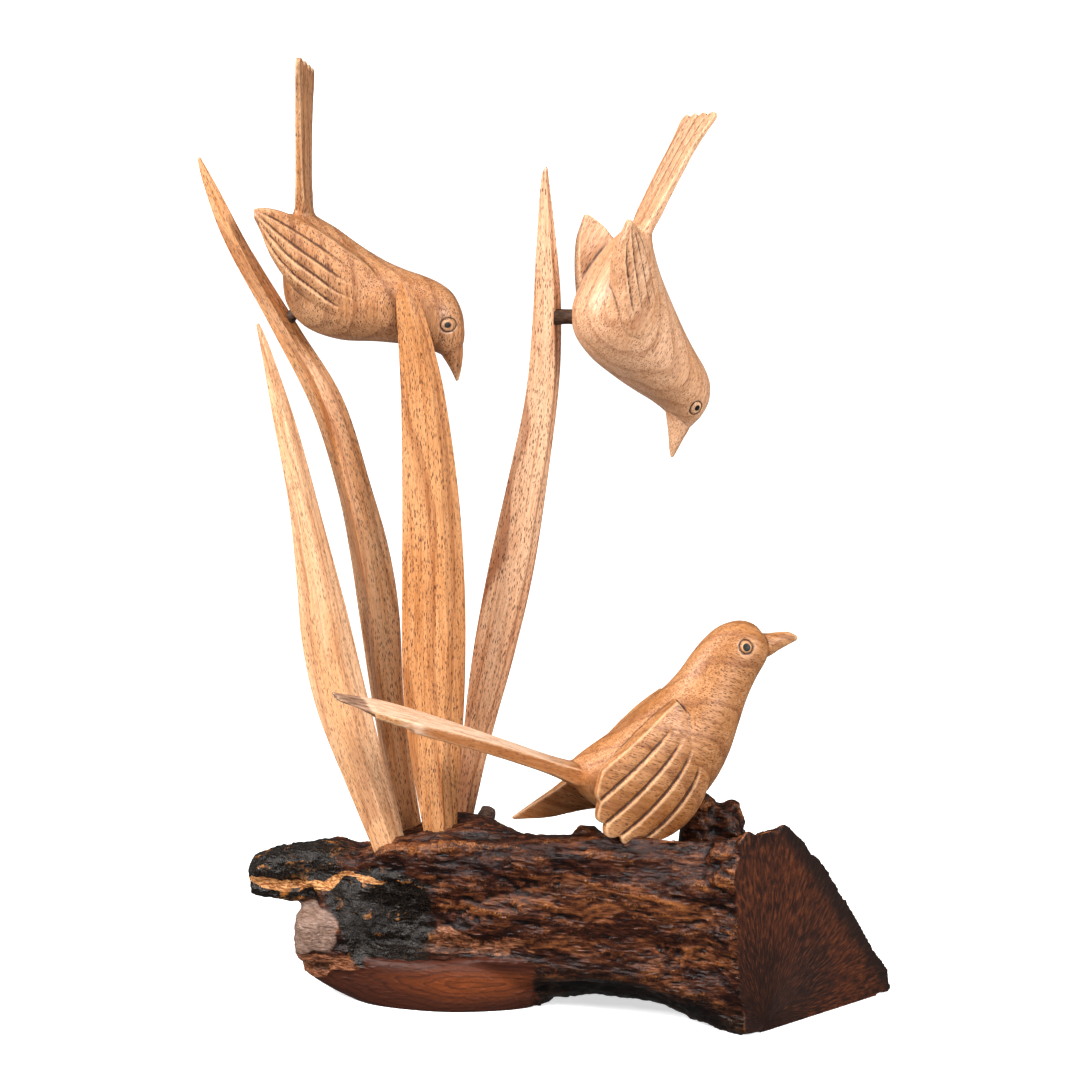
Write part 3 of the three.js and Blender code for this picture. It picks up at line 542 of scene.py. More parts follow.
def tail(sizes, rows=300, strands=14):
    """A tail as a plate that widens from root to tip, bowed by bend and crowned by 1 - c (2t - 1)^2, with a
    groove between its feathers and a round lobe at the end of each. Where it has broken, its top drops by a
    ragged step, whose place along the tail wavers across it as two sines."""
    root, tip = np.array(sizes["root"], float), np.array(sizes["tip"], float)
    along = tip - root
    length = np.hypot(*along)
    share = np.linspace(0, 1, rows)[:, None]
    across = np.linspace(0, 1, TAIL_LOBES * strands + 1)[None]
    part = across * TAIL_LOBES % 1
    notch = sizes["lobe"] * (1 - np.sin(np.pi * part) ** 0.6) + sizes["slant"] * across
    reach = share - notch / length * share**3
    widths = np.stack([sizes["widths"], sizes["thickness"]], 1)
    width, thick = columns(sizes_at(widths, reach))
    crown = 1 - TAIL_CROWN * (2 * across - 1) ** 2
    gap = np.minimum(part, 1 - part) * width / TAIL_LOBES
    groove = 0.45 * np.exp(-(gap / 0.5) ** 2) * smooth(share, 0.2, 0.5) * (across > 0.05) * (across < 0.95)
    side = (across - 0.5) * width
    faces = []
    ragged = share + 0.012 * np.sin(9 * across) + 0.008 * np.sin(23 * across)
    broken = sum(drop * smooth(ragged, start, start + 0.01) for start, drop in sizes.get("breaks", []))
    for face, drop in ((1, broken), (-1, 0)):
        off = face * (thick * crown / 2 - groove) + 4 * sizes["bend"] * reach * (1 - reach) - drop
        x = root[0] + along[0] * reach - along[1] / length * off
        z = root[1] + along[1] * reach + along[0] / length * off + sizes["roll"] * side * reach
        faces.append(np.stack([x, side, z], -1))
    return plate(*faces)


def bird(name, sizes, material):
    """A bird grown together from its body, beak, tail and wings, with its eyes carved in."""
    wings = sizes["wings"]
    shells = [round_form(sizes["body"], 150, 160), round_form(sizes["beak"], 60, 60), tail(sizes["tail"]),
              wing(wings[0], -1), wing(wings[-1], 1)]
    piece = grown_together(name.replace("_", "_carved_"), shells, sizes["cell"])
    surface = Surface(piece)
    surface.fair(3)
    tail_root, tail_tip = (np.array([x, 0, z]) for x, z in (sizes["tail"]["root"], sizes["tail"]["tip"]))
    off = np.linalg.norm(surface.points - tail_root, axis=1)
    surface.fair(60, fall(off, *TAIL_BLEND), keep=False)
    carve_eyes(surface, sizes["eye"])
    surface.keep_hollows(BIRD_HOLLOW)
    if "breaks" in sizes["tail"]:
        weather_tail(surface, tail_root, tail_tip, sizes["tail"]["breaks"])
    turn = math.radians(sizes["turn"])
    spin = np.array([[math.cos(turn), -math.sin(turn), 0], [math.sin(turn), math.cos(turn), 0], [0, 0, 1]])
    surface.points = surface.points @ spin.T + np.array(sizes["place"], float)
    finished(piece, name, material, surface)


def weather_tail(surface, start, end, breaks):
    """Marks a broken tail on its way from start to end: a painted highlight on its upward faces, pale broken
    wood about the first break as exp(-t^2), painted shade at its sides up to there, and weathered wood past
    the second break."""
    (first, _), (second, _) = breaks
    way = (surface.points - start) @ (end - start) / np.sum((end - start) ** 2)
    way += 0.02 * noise(surface.points, 4, 7)
    upward = smooth(surface.normals()[:, 2], 0.45, 0.8)
    crumbled = np.exp(-((way - first) / 0.035) ** 2) * (0.6 + 0.4 * noise(surface.points, 2.5, 8))
    # Painted highlight on the upward faces, and pale broken wood about the first break.
    surface.keep("pale", np.maximum(upward * smooth(way, 0.08, 0.3) * 0.7, np.clip(crumbled, 0, 1)))
    # Painted shade on the sides of the tail.
    surface.keep("side", (1 - upward) * smooth(way, 0.02, 0.1) * fall(way, first, first + 0.02))
    surface.keep("snapped", smooth(way, second, second + 0.02))


def carve_eyes(surface, eye):
    """An eye on each side: inside a cut ring, a ball that stands out by the square root of 1 - (d / r)^2."""
    x, y, z = surface.points.T
    off = np.hypot(x - eye[0], z - eye[1])
    ball = EYE_HEIGHT * np.sqrt(np.clip(1 - (off / EYE_RADIUS) ** 2, 0, 1))
    ring = EYE_HEIGHT * np.exp(-((off - EYE_RING) / 0.4) ** 2)
    beside = (off < 5) & (np.abs(y) > 3)
    surface.points[:, 1] += np.where(beside, np.sign(y) * (ball - ring), 0)


# Leaf blades

def blade(name, rows, ridge, sets, thickness, material):
    """A long leaf: at each height a section whose front falls from the ridge to each edge, and whose back is
    humped by the sine of the way across. The edges are 0.6 of BLADE_EDGE thick."""
    share = np.linspace(0, 1, 330)[:, None]
    left_x, left_z, right_x, right_z, depth = columns(sizes_at(rows, share))
    width = np.hypot(right_x - left_x, right_z - left_z)
    fullness = np.minimum(1, width / FULL_BREADTH)
    middle = np.stack([(left_x + right_x) / 2, (left_z + right_z) / 2], -1)
    length = np.concatenate([[0], np.cumsum(np.hypot(*np.diff(middle[:, 0], axis=0).T))])[:, None]
    step = (1 - np.cos(np.linspace(0, np.pi, 15))) / 2
    front = -thickness / 2
    left, right = (front + set_back for set_back in sets)
    hump = thickness - min(sets) - BLADE_EDGE
    seed = int(name[-1])
    wander = 0.02 * np.sin(length / 17 + seed) + 0.012 * np.sin(length / 6.3 + 2 * seed)
    ridge_share = columns(sizes_at(np.array(ridge, float)[:, None], share))[0] + wander
    left_part, right_part = ridge_share * step, mix(ridge_share, 1, step[1:])
    left_off = mix(left, front, step**0.8625) + 0 * ridge_share
    right_off = mix(front, right, 1 - (1 - step[1:]) ** 0.8625) + 0 * ridge_share
    back_step = (1 + np.cos(np.linspace(0, np.pi, 27)))[None, :] / 2
    back_off = mix(left, right, back_step) + hump * np.sin(np.pi * back_step) ** 0.7 + BLADE_EDGE * 0.6
    across = np.concatenate([left_part, right_part, back_step + 0 * share], 1)
    off = np.concatenate([left_off, right_off, back_off + 0 * share], 1) * fullness
    x, z = mix(left_x, right_x, across), mix(left_z, right_z, across)
    points = np.stack([x, depth + off, z], -1)
    chisel = noise(np.stack([across * width, off, length + 0 * across], -1).reshape(-1, 3), (6, 6, 14), seed)
    points[..., 1] += 0.15 * chisel.reshape(off.shape) * fullness
    piece = placed(name.replace("_", "_leaf_"), mesh_of(name, *skin(points)))
    grain = np.stack([(across - 0.5) * width, off + 0 * across, length + 0 * across], -1).reshape(-1, 3)
    grain = np.concatenate([grain, grain[:1], grain[-1:]])
    layer = piece.data.attributes.new("grain", "FLOAT_VECTOR", "POINT")
    layer.data.foreach_set("vector", grain.astype(np.float32).ravel())
    finished(piece, name, material)


def bar(start, end, radius_at):
    """A closed bar of round rings about the line from start to end. Its radius is a function of the share of
    the way and of the angle round it."""
    start, end = np.array(start, float), np.array(end, float)
    axis = (end - start) / np.linalg.norm(end - start)
    side = np.cross(axis, [0, 1, 0])
    side /= np.linalg.norm(side)
    share = np.linspace(0, 1, 40)[:, None, None]
    angle = round_turn(48)[None, :, None]
    round_it = np.cos(angle) * side + np.sin(angle) * np.cross(axis, side)
    return skin(start + (end - start) * share + radius_at(share, angle) * round_it)


def peg(name, start, end, diameter, material):
    """A whittled peg: its radius swells towards its ends as (2t - 1)^2, and wavers round it as a sine."""
    def radius_at(share, angle):
        return diameter / 2 * (0.86 + 0.14 * (2 * share - 1) ** 2 + 0.05 * np.sin(3 * angle + 4 * share))

    piece = placed(name.replace("_", "_whittled_"), mesh_of(name, *bar(start, end, radius_at)))
    finished(piece, name, material)


# Root

def squared(angle, square):
    """The unit circle drawn out into a rounded square: the cosine and the sine to the power 2 / square."""
    return [np.sign(v) * np.abs(v) ** (2 / square) for v in (np.cos(angle), np.sin(angle))]


def log_shell():
    """The log: rings of a rounded square warped to four corners, rippled round it by two sines."""
    share = np.linspace(0, 1, 200)[:, None]
    x, y, bearing, *corners, square = columns(sizes_at(LOG_RINGS, share))
    angle = round_turn(260)[None]
    ripple = 1 + 0.02 * (np.sin(7 * angle + 5 * share) + np.sin(12 * angle - 9 * share))
    p, q = ((v * ripple + 1) / 2 for v in squared(angle, square))
    depth, height = (mix(mix(corners[i], corners[6 + i], p), mix(corners[2 + i], corners[4 + i], p), q)
                     for i in (0, 1))
    bearing = np.radians(bearing)
    rings = np.stack([x + np.cos(bearing) * depth, y + np.sin(bearing) * depth, height], -1)
    closing = [mix(rings[-1:], np.array(LOG_END, float), share) for share in LOG_CLOSING]
    return skin(np.concatenate([rings, *closing]))


def limb_shell(rows, square):
    """A limb: rings of a rounded square across the x axis, through rows of its middle and half sizes."""
    x, y, z, half_depth, half_height = columns(sizes_at(rows, np.linspace(0, 1, 120)[:, None]))
    p, q = squared(round_turn(96)[None], square)
    return skin(np.stack([x + 0 * p, y + p * half_depth, z + q * half_height], -1))


def stub_shell(foot, tip, foot_radius, tip_radius):
    """A broken stub: a round bar that tapers from foot to tip."""
    return bar(foot, tip, lambda share, angle: mix(foot_radius, tip_radius, share))


def knuckle_shell():
    """The burnt knuckle: a bent bar of level rings."""
    x, y, z, radius = columns(sizes_at(KNUCKLE, np.linspace(0, 1, 80)[:, None]))
    angle = round_turn(64)[None]
    return skin(np.stack([x + radius * np.cos(angle), y + radius * np.sin(angle), z + 0 * angle], -1))


def foot_edge(x):
    """The height of the smooth-cut foot's upper edge, which rises a little to the right."""
    return FOOT_EDGE + FOOT_RISE * (x + 50)


def carve_root(p):
    """Cuts the broad forms: the cove beside the knuckle, which falls off as exp(-t^2), and the recess above
    the foot."""
    x, y, z = p.T
    low = foot_edge(x)
    off = ((x - COVE[0]) / COVE[2]) ** 2 + ((z - COVE[1]) / COVE[3]) ** 2
    cove = COVE_DEPTH * np.exp(-off * (1 + 0.3 * noise(p, 12, 80))) * smooth(z, low - 2, low + 5)
    recess = smooth(z, low - 0.8, low + 0.8) * fall(z, low + 2, low + 16)
    recess *= smooth(x, -76, -56) * fall(x, -8, 8) * mix(*RECESS_DEPTHS, smooth(x, -44, 4))
    p[:, 1] += np.where(y < 10, np.maximum(cove, recess), 0)


def near(points, centre, sizes, strength=1.0):
    """How near points are to a centre: the strength there, and 0 from an ellipsoid of the half sizes on."""
    off = np.linalg.norm((points - np.array(centre, float)) / np.array(sizes, float), axis=1)
    return strength * fall(off, 0.35, 1)


def ridged(points, size, seed, layers=3):
    """Noise folded at its middle, so that it runs in sharp ridges: 1 on a ridge and -1 far from one."""
    size = np.asarray(size, float)
    return sum((1 - 4 * np.abs(noise(points, size / 2**k, seed + k))) / 2**k for k in range(layers)) / 1.75


def flaked(points, size, seed, steps):
    """Terraces: layered noise cut into steps, with a quick rise from each step to the next."""
    level = layered(points, size, seed, 3) * steps
    return np.floor(level) + smooth(level - np.floor(level), 0.0, 0.3)


def root_masks(p, normals, behind_saw):
    """How far each point of the root belongs to each of its finishes and to the painted shade, from 0 to 1.
    The edges between them wander with a layered noise, the drift."""
    x, _, z = p.T
    drift = layered(p, (14, 14, 7), 90, 3)
    low = foot_edge(x) + 0.8 * drift
    facing = normals @ FRONT_LEFT
    sawn = fall(behind_saw, 0.6, 1.6) * smooth(normals @ SAW_NORMAL, 0.2, 0.7)
    stump = smooth(4 * drift - x, 80, 90) * smooth(z + 3 * drift, 18, 23) * fall(z + 5 * drift, 33, 41)
    char = np.maximum.reduce([near(p, *place) for place in BURNT]) * (1 - 0.9 * stump)
    char = np.maximum(char, near(p, *SCORCHED))
    stump = np.maximum(stump, near(p, STUBS[-1][1], WEATHERED_TIP))
    flap = smooth(z + 5 * drift - 0.25 * (x + 100), 6, 10) * fall(z + 2 * drift, 19, 22)
    flap *= fall(x + 6 * drift, -80, -66) * smooth(facing, 0, 0.4) * (1 - stump)
    cut = smooth(facing, 0.05, 0.4) * fall(z, low - 1, low + 0.5) * smooth(x, -103, -99)
    cut *= fall(x + 4 * drift, -12, 4) * (1 - flap)
    torn = smooth(z, low, low + 1) * fall(z + 9 * drift, low + 6, low + 14) * smooth(facing, 0, 0.4)
    torn *= smooth(x + 12 * drift, -56, -40) * fall(x + 14 * drift, -14, 2)
    off = np.abs(z - 49 - 0.05 * (x + 95) - 3 * drift) / (2.2 + 1.6 * noise(p, 9, 97))
    band = fall(off, 0.6, 1.3) * fall(x + 10 * drift, -72, -60) * smooth(-normals[:, 1], -0.3, 0.3)
    # Painted shade: darker low down, right of the middle, lower towards the sawn end.
    shade = fall(z + 4 * drift + 0.14 * np.maximum(x - 25, 0), 13, 27) * smooth(x + 4 * drift, -10, 2)
    return {"sawn": sawn, "cut": cut, "char": char, "stump": stump, "torn": np.maximum(torn, flap),
            "band": np.clip(band, 0, 1), "shade": shade * (1 - sawn)}


def bark_relief(p, masks, behind_saw):
    """How far the skin stands out in millimetres: long ridges and flakes of bark along the log, crumbs where
    it is burnt, less on the cut foot and the weathered stump, and nothing at the sawn end."""
    turned = np.stack([p @ LOG_AXIS, p @ LOG_SIDE, p[:, 2]], 1)
    bent = turned + 2.5 * np.stack([noise(turned, 16, seed) for seed in (60, 61, 62)], 1)
    rough = 0.35 + 0.65 * smooth(layered(turned, (40, 26, 26), 95, 2), -0.35, 0.25)
    bark = 1.7 * layered(bent, (34, 13, 13), 3, 2) + rough * 0.9 * ridged(bent, (20, 6.5, 6.5), 9)
    bark += 0.6 * rough * flaked(bent, (14, 7, 7), 41, 3.5) + 0.25 * ridged(bent, (5, 2.2, 2.2), 21, 2)
    burnt = ridged(p, (7, 6, 6), 33) + 0.5 * layered(p, 2.4, 37, 1)
    relief = mix(bark, burnt, masks["char"])
    relief *= smooth(behind_saw, 0.4, 3.0) * (1 - 0.93 * masks["cut"]) * (1 - 0.5 * masks["stump"])
    ragged_tips = smooth(p[:, 2], 66, 76) * smooth(p[:, 0], 55, 65)
    return relief + ragged_tips * 1.6 * layered(p, (7, 7, 9), 71, 2) - 0.3


def saw(p, sawn):
    """Flattens the sawn end to its plane, with fine upright saw marks."""
    over = (p - SAW_POINT) @ SAW_NORMAL
    marks = 0.12 * noise(p, (1.6, 1.6, 9), 50)
    p += np.where((sawn > 0.3) | (over > 0), marks - 0.15 - over, 0)[:, None] * SAW_NORMAL


def root(material):
    """The root: its shells are grown together, hollowed out, grown together again, marked and roughened."""
    shells = [log_shell(), *(limb_shell(*limb) for limb in LIMBS.values()),
              *(stub_shell(*stub) for stub in STUBS), knuckle_shell()]
    rough = grown_together("root_rough", shells, ROUGH_CELL)
    surface = Surface(rough)
    surface.fair(4)
    carve_root(surface.points)
    faces = np.empty(len(rough.data.polygons) * 4, np.int32)
    rough.data.polygons.foreach_get("vertices", faces)
    piece = grown_together("root_of_dark_wood", [(surface.points, [faces.reshape(-1, 4)])], ROOT_CELL)
    bpy.data.objects.remove(rough)
    surface = Surface(piece)
    surface.fair(3)
    normals = surface.normals()
    behind_saw = -(surface.points - SAW_POINT) @ SAW_NORMAL
    masks = root_masks(surface.points, normals, behind_saw)
    surface.points += normals * bark_relief(surface.points, masks, behind_saw)[:, None]
    saw(surface.points, masks["sawn"])
    surface.points[:, 2] = np.maximum(surface.points[:, 2], FLOOR)
    surface.keep_hollows(ROOT_HOLLOW)
    for name, values in masks.items():
        surface.keep(name, values)
    finished(piece, "root_base", material, surface)


# Finishes

def operator(operation, reflected=False):
    """A method that adds the Math node of an operator, with its two values swapped in its reflected form."""
    def method(self, other):
        return self.finish.math(operation, *((other, self) if reflected else (self, other)))
    return method


class Tone:
    """One output of a node. Arithmetic on it adds the Math node that works it out."""

    def __init__(self, finish, socket):
        self.finish, self.socket = finish, socket

    __add__ = __radd__ = operator("ADD")
    __mul__ = __rmul__ = operator("MULTIPLY")
    __sub__, __rsub__ = operator("SUBTRACT"), operator("SUBTRACT", reflected=True)
    __truediv__, __rtruediv__ = operator("DIVIDE"), operator("DIVIDE", reflected=True)


def colour_of(value):
    """A colour from its six-digit code, made linear. A link to a node stays as it is."""
    if isinstance(value, Tone):
        return value
    parts = [int(value[i:i + 2], 16) / 255 for i in (0, 2, 4)]
    return (*(v / 12.92 if v <= 0.04045 else ((v + 0.055) / 1.055) ** 2.4 for v in parts), 1)


class Finish:
    """A material in the making, and the nodes it is made of."""

    def __init__(self, name):
        self.material = bpy.data.materials.new(name)
        self.material.use_nodes = True
        self.tree = self.material.node_tree
        self.tree.nodes.clear()

    def node(self, kind, settings=None, inputs=None, output=0):
        """Adds a node of a kind, with its settings first and then the values or links of its sockets."""
        node = self.tree.nodes.new("ShaderNode" + kind)
        for name, value in (settings or {}).items():
            if name == "stops":
                ramp = node.color_ramp.elements
                while len(ramp) < len(value):
                    ramp.new(1)
                for stop, (place, colour) in zip(ramp, value):
                    stop.position, stop.color = place, colour_of(colour)
            else:
                setattr(node, name, value)
        for name, value in (inputs or {}).items():
            if isinstance(value, Tone):
                self.tree.links.new(value.socket, node.inputs[name])
            else:
                node.inputs[name].default_value = value
        return Tone(self, node.outputs[output]) if node.outputs else None

    def math(self, operation, *values):
        return self.node("Math", {"operation": operation}, dict(enumerate(values)))

    def vector(self, operation, *values, output="Vector"):
        return self.node("VectorMath", {"operation": operation}, dict(enumerate(values)), output)

    def slant(self, across, up):
        """The length of a step across and a step up together: the root of the sum of their squares."""
        return self.math("SQRT", across * across + up * up)

    def step(self, value, low, high):
        """The smooth step of a value between two limits."""
        return self.node("MapRange", {"interpolation_type": "SMOOTHSTEP"},
                         {"Value": value, "From Min": low, "From Max": high})

    def blend(self, share, a, b):
        """The colour a share of the way from a to b. A Mix node's colours are inputs 6 and 7 and output 2."""
        return self.node("Mix", {"data_type": "RGBA"}, {0: share, 6: colour_of(a), 7: colour_of(b)}, 2)

    def noise(self, where, scale, detail, rough=0.5, twist=0.0):
        """Noise with a scale of its own along each axis."""
        inputs = {"Vector": self.vector("MULTIPLY", where, scale), "Scale": 1.0, "Detail": detail,
                  "Roughness": rough, "Distortion": twist}
        return self.node("TexNoise", None, inputs)

    def cells(self, where, scale):
        """The distance to the middle of the nearest cell."""
        return self.node("TexVoronoi", None, {"Vector": self.vector("MULTIPLY", where, scale), "Scale": 1.0})

    def ramp(self, value, stops):
        return self.node("ValToRGB", {"stops": stops}, {"Fac": value})

    def kept(self, name, output="Fac"):
        return self.node("Attribute", {"attribute_name": name}, None, output)

    def place(self, turn=(0, 0, 0)):
        """The place of a point in millimetres, in axes turned by the given angles."""
        coordinates = self.node("TexCoord", None, None, "Object")
        return self.node("Mapping", {"vector_type": "TEXTURE"},
                         {"Vector": coordinates, "Rotation": turn, "Scale": (MM, MM, MM)})

    def split(self, vector):
        return [self.node("SeparateXYZ", None, {0: vector}, k) for k in range(3)]

    def bump(self, height, strength, distance):
        return self.node("Bump", None, {"Strength": strength, "Distance": distance, "Height": height})

    def end(self, inputs):
        """Ends the material in a shader with the given values or links of its sockets."""
        self.node("OutputMaterial", None, {"Surface": self.node("BsdfPrincipled", None, inputs)})
        return self.material


def wood_colour(f, grain, light, middle, dark, pore, ring_width, ring_strength, pore_strength, offset):
    """Plain-sawn wood in grain axes (across, across, along) in millimetres: broad patches, long streaks,
    growth rings that wander, and short dark pores. Returns its colour, its relief's height and its pores."""
    grain = f.vector("ADD", grain, (offset, offset * 1.7, offset * 3.1))
    broad = f.noise(grain, (0.05, 0.05, 0.012), 3, 0.55)
    streak = f.noise(grain, (0.8, 0.8, 0.022), 4, 0.6)
    fibre = f.noise(grain, (3.4, 3.4, 0.12), 2, 0.6)
    wander = f.noise(grain, (0.03, 0.03, 0.008), 2)
    x, y, _ = f.split(grain)
    ring = f.math("FRACT", (x * 0.6 + y) / ring_width + wander * 3.2)
    late = f.step(ring, 0.55, 0.93) * (1 - f.step(ring, 0.93, 1.0))
    base = f.blend(f.step(broad * 0.5 + streak * 0.5, 0.36, 0.64), light, middle)
    base = f.blend(late * ring_strength * (0.4 + streak), base, dark)
    base = f.blend(f.step(streak, 0.54, 0.7) * (0.75 * ring_strength), base, dark)
    base = f.blend(f.step(fibre, 0.48, 0.7) * 0.45, base, dark)
    long_pores = 1 - f.step(f.cells(grain, (1.6, 1.6, 0.3)), 0.2, 0.35)
    short_pores = 1 - f.step(f.cells(f.vector("ADD", grain, (7.3, 2.9, 11.0)), (2.1, 2.1, 0.5)), 0.15, 0.32)
    pores = f.math("MAXIMUM", long_pores, 0.7 * short_pores)
    pores = pores * f.step(f.noise(grain, (0.12, 0.12, 0.05), 2), 0.2, 0.48)
    base = f.blend(pores * pore_strength, base, pore)
    return base, fibre * 0.35 + streak * 0.25 - pores * 0.9, pores


def waxed(f, colour, roughness, height, coat):
    """Sanded wood under a thin coat of wax."""
    return f.end({"Base Color": colour, "Roughness": roughness, "Normal": f.bump(height, 0.45, 0.0004),
                  "Coat Weight": coat, "Coat Roughness": 0.38})


def painted_eyes(f, colour, sizes, spin):
    """A dark ring and a black pupil on each side, round the line across the head through both eyes."""
    eye_x, eye_z = sizes["eye"]
    centre = spin @ Vector((eye_x, 0, eye_z)) + Vector(sizes["place"]) - Vector(PLAN_CENTRE)
    way = f.vector("ADD", f.place(), tuple(-centre))
    lateral = f.vector("DOT_PRODUCT", way, tuple(spin @ Vector((0, 1, 0))), output="Value")
    length = f.vector("LENGTH", way, output="Value")
    off = f.math("SQRT", f.math("MAXIMUM", length * length - lateral * lateral, 0.0))
    outside = f.step(f.math("ABSOLUTE", lateral), 2.0, 4.0)
    ring = f.step(off, EYE_RING - 0.4, EYE_RING - 0.1) * (1 - f.step(off, EYE_RING, EYE_RING + 0.3))
    pupil = (1 - f.step(off, sizes["pupil"] - 0.1, sizes["pupil"] + 0.1)) * outside
    return f.blend(pupil, f.blend(ring * outside * 0.8, colour, "3a200f"), "0a0807"), pupil


def bird_finish(name, sizes):
    """Sanded and lightly waxed wood, its grain along the tail, with painted shade in the cuts and matte
    pupils.
    """
    f = Finish(name.replace("_", "_wood_"))
    run, rise = np.subtract(sizes["tail"]["tip"], sizes["tail"]["root"])
    spin = Matrix.Rotation(math.radians(sizes["turn"]), 3, "Z")
    along = spin @ Vector((run, 0, rise)).normalized()
    across = spin @ Vector((-rise, 0, run)).normalized()
    grain = f.place(Matrix((across, along.cross(across), along)).transposed().to_euler())
    colour, height, pores = wood_colour(f, grain, *WOODS[name], 10.0 * int(name[-1]))
    hollow = f.kept("hollow")
    # Painted shade in the cuts and creases of the carving.
    colour = f.blend(f.step(hollow, 0.55, 0.85) * 0.9, colour, "43200c")
    colour = f.blend((1 - f.step(hollow, 0.12, 0.42)) * 0.35, colour, "ecc9a0")
    if "breaks" in sizes["tail"]:
        patchy = f.step(f.noise(grain, (0.7, 0.7, 0.12), 4, 0.65), 0.35, 0.6)
        # Painted shade: a richer, darker orange on the sides of the tail.
        colour = f.blend(f.kept("side") * 0.45, colour, "ad6526")
        # Painted highlight on the top of the tail, and pale broken wood at the first break.
        colour = f.blend(f.kept("pale") * (0.5 + patchy * 0.5), colour, "f3d6bd")
        colour = f.blend(f.kept("snapped") * 0.85, colour, f.blend(patchy, "4a3226", "a07c66"))
    colour, pupil = painted_eyes(f, colour, sizes, spin)
    return waxed(f, colour, 0.46 + pores * 0.2 + pupil * 0.2, height, 0.3)


def blade_finish(name):
    """Sanded and waxed wood, its grain along the leaf."""
    f = Finish(name.replace("_", "_wood_"))
    colour, height, pores = wood_colour(f, f.kept("grain", "Vector"), *WOODS[name], 17.0 * int(name[-1]))
    return waxed(f, colour, 0.42 + pores * 0.25, height, 0.35)


def bark_colour(f, patch, thread, grit, ridge, crevice_shade, shade):
    """Lacquered bark: dark threads along the log, ridges paler in patches partly from wear and partly as a
    painted highlight, and painted shade in the crevices and low down.
    """
    stops = [(0.0, "150806"), (0.35, "34170d"), (0.65, "4f2a19"), (1.0, "865232")]
    bark = f.ramp(f.step(thread * 0.55 + patch * 0.45, 0.36, 0.64), stops)
    # Paler orange on the ridges in patches: partly worn bark, partly a painted highlight.
    bark = f.blend(ridge * f.step(grit + patch, 0.98, 1.22) * 0.85, bark, "b4733a")
    # Painted shade, nearly black, in the crevices.
    bark = f.blend(crevice_shade * 0.9, bark, "090403")
    # Painted shade low down.
    return f.blend(shade * 0.9, bark, "0e0806")


def burnt_colour(f, turned, grit, ridge):
    """Black char with ash in it, and tan wood where its ridges are rubbed."""
    black = f.blend(f.step(grit, 0.42, 0.66) * 0.7, "080707", "46392f")
    rubbed = f.step(f.noise(turned, (0.07, 0.14, 0.14), 3, 0.6) + grit * 0.25, 0.68, 0.74)
    return f.blend(ridge * rubbed * 0.9, black, "b9793d")


def foot_colour(f, at):
    """The smooth-cut foot: long growth rings round a heart of lighter wood."""
    x, _, z = f.split(at)
    heart = f.slant((x - HEART[0]) / HEART[2], (z - HEART[1]) / HEART[3])
    drift = f.noise(at, (0.03, 0.03, 0.1), 3)
    lines = f.math("FRACT", (heart + (drift - 0.5) * 0.9) * 4.5)
    planed = f.blend(f.step(heart + drift * 0.8, 0.5, 1.5), "7c3f1b", "4b2313")
    planed = f.blend(f.step(lines, 0.55, 0.95) * (1 - f.step(lines, 0.95, 1.0)) * 0.5, planed, "2c130a")
    return f.blend(f.step(f.noise(at, (0.35, 0.35, 2.5), 4), 0.5, 0.75) * 0.35, planed, "2c120a")


def end_colour(f, at, grit):
    """The sawn end: short fibres that fan out from the pith near its lower left corner, within a dark rim.
    Returns its colour and the fibres."""
    way = f.vector("ADD", at, tuple(PLAN_CENTRE - SAW_POINT - PITH))
    run = f.vector("DOT_PRODUCT", way, tuple(SAW_ALONG), output="Value")
    rise = f.split(way)[2]
    radius = f.slant(run, rise)
    fan = f.node("CombineXYZ", None, {0: f.math("ARCTAN2", rise, run) * 40, 1: radius * 0.2, 2: 0.0})
    fibres = f.noise(fan, (1, 1, 1), 3, 0.6, 0.5)
    clouds = f.noise(at, (0.05, 0.05, 0.05), 3, 0.55)
    glow = f.step(radius + clouds * 26, 30, 62) * (1 - f.step(radius + clouds * 20, 74, 96))
    end = f.blend(f.step(glow * 0.4 + clouds * 0.8, 0.25, 0.95), "2b120a", "562911")
    end = f.blend(f.step(fibres, 0.46, 0.62) * 0.75, end, "1f0c06")
    end = f.blend(f.step(1 - fibres, 0.52, 0.68) * 0.5, end, "7e4622")
    rim = f.step(rise + run * 1.253 + (grit - 0.5) * 22, 84, 93)
    return f.blend(rim * 0.85, end, "20120b"), fibres


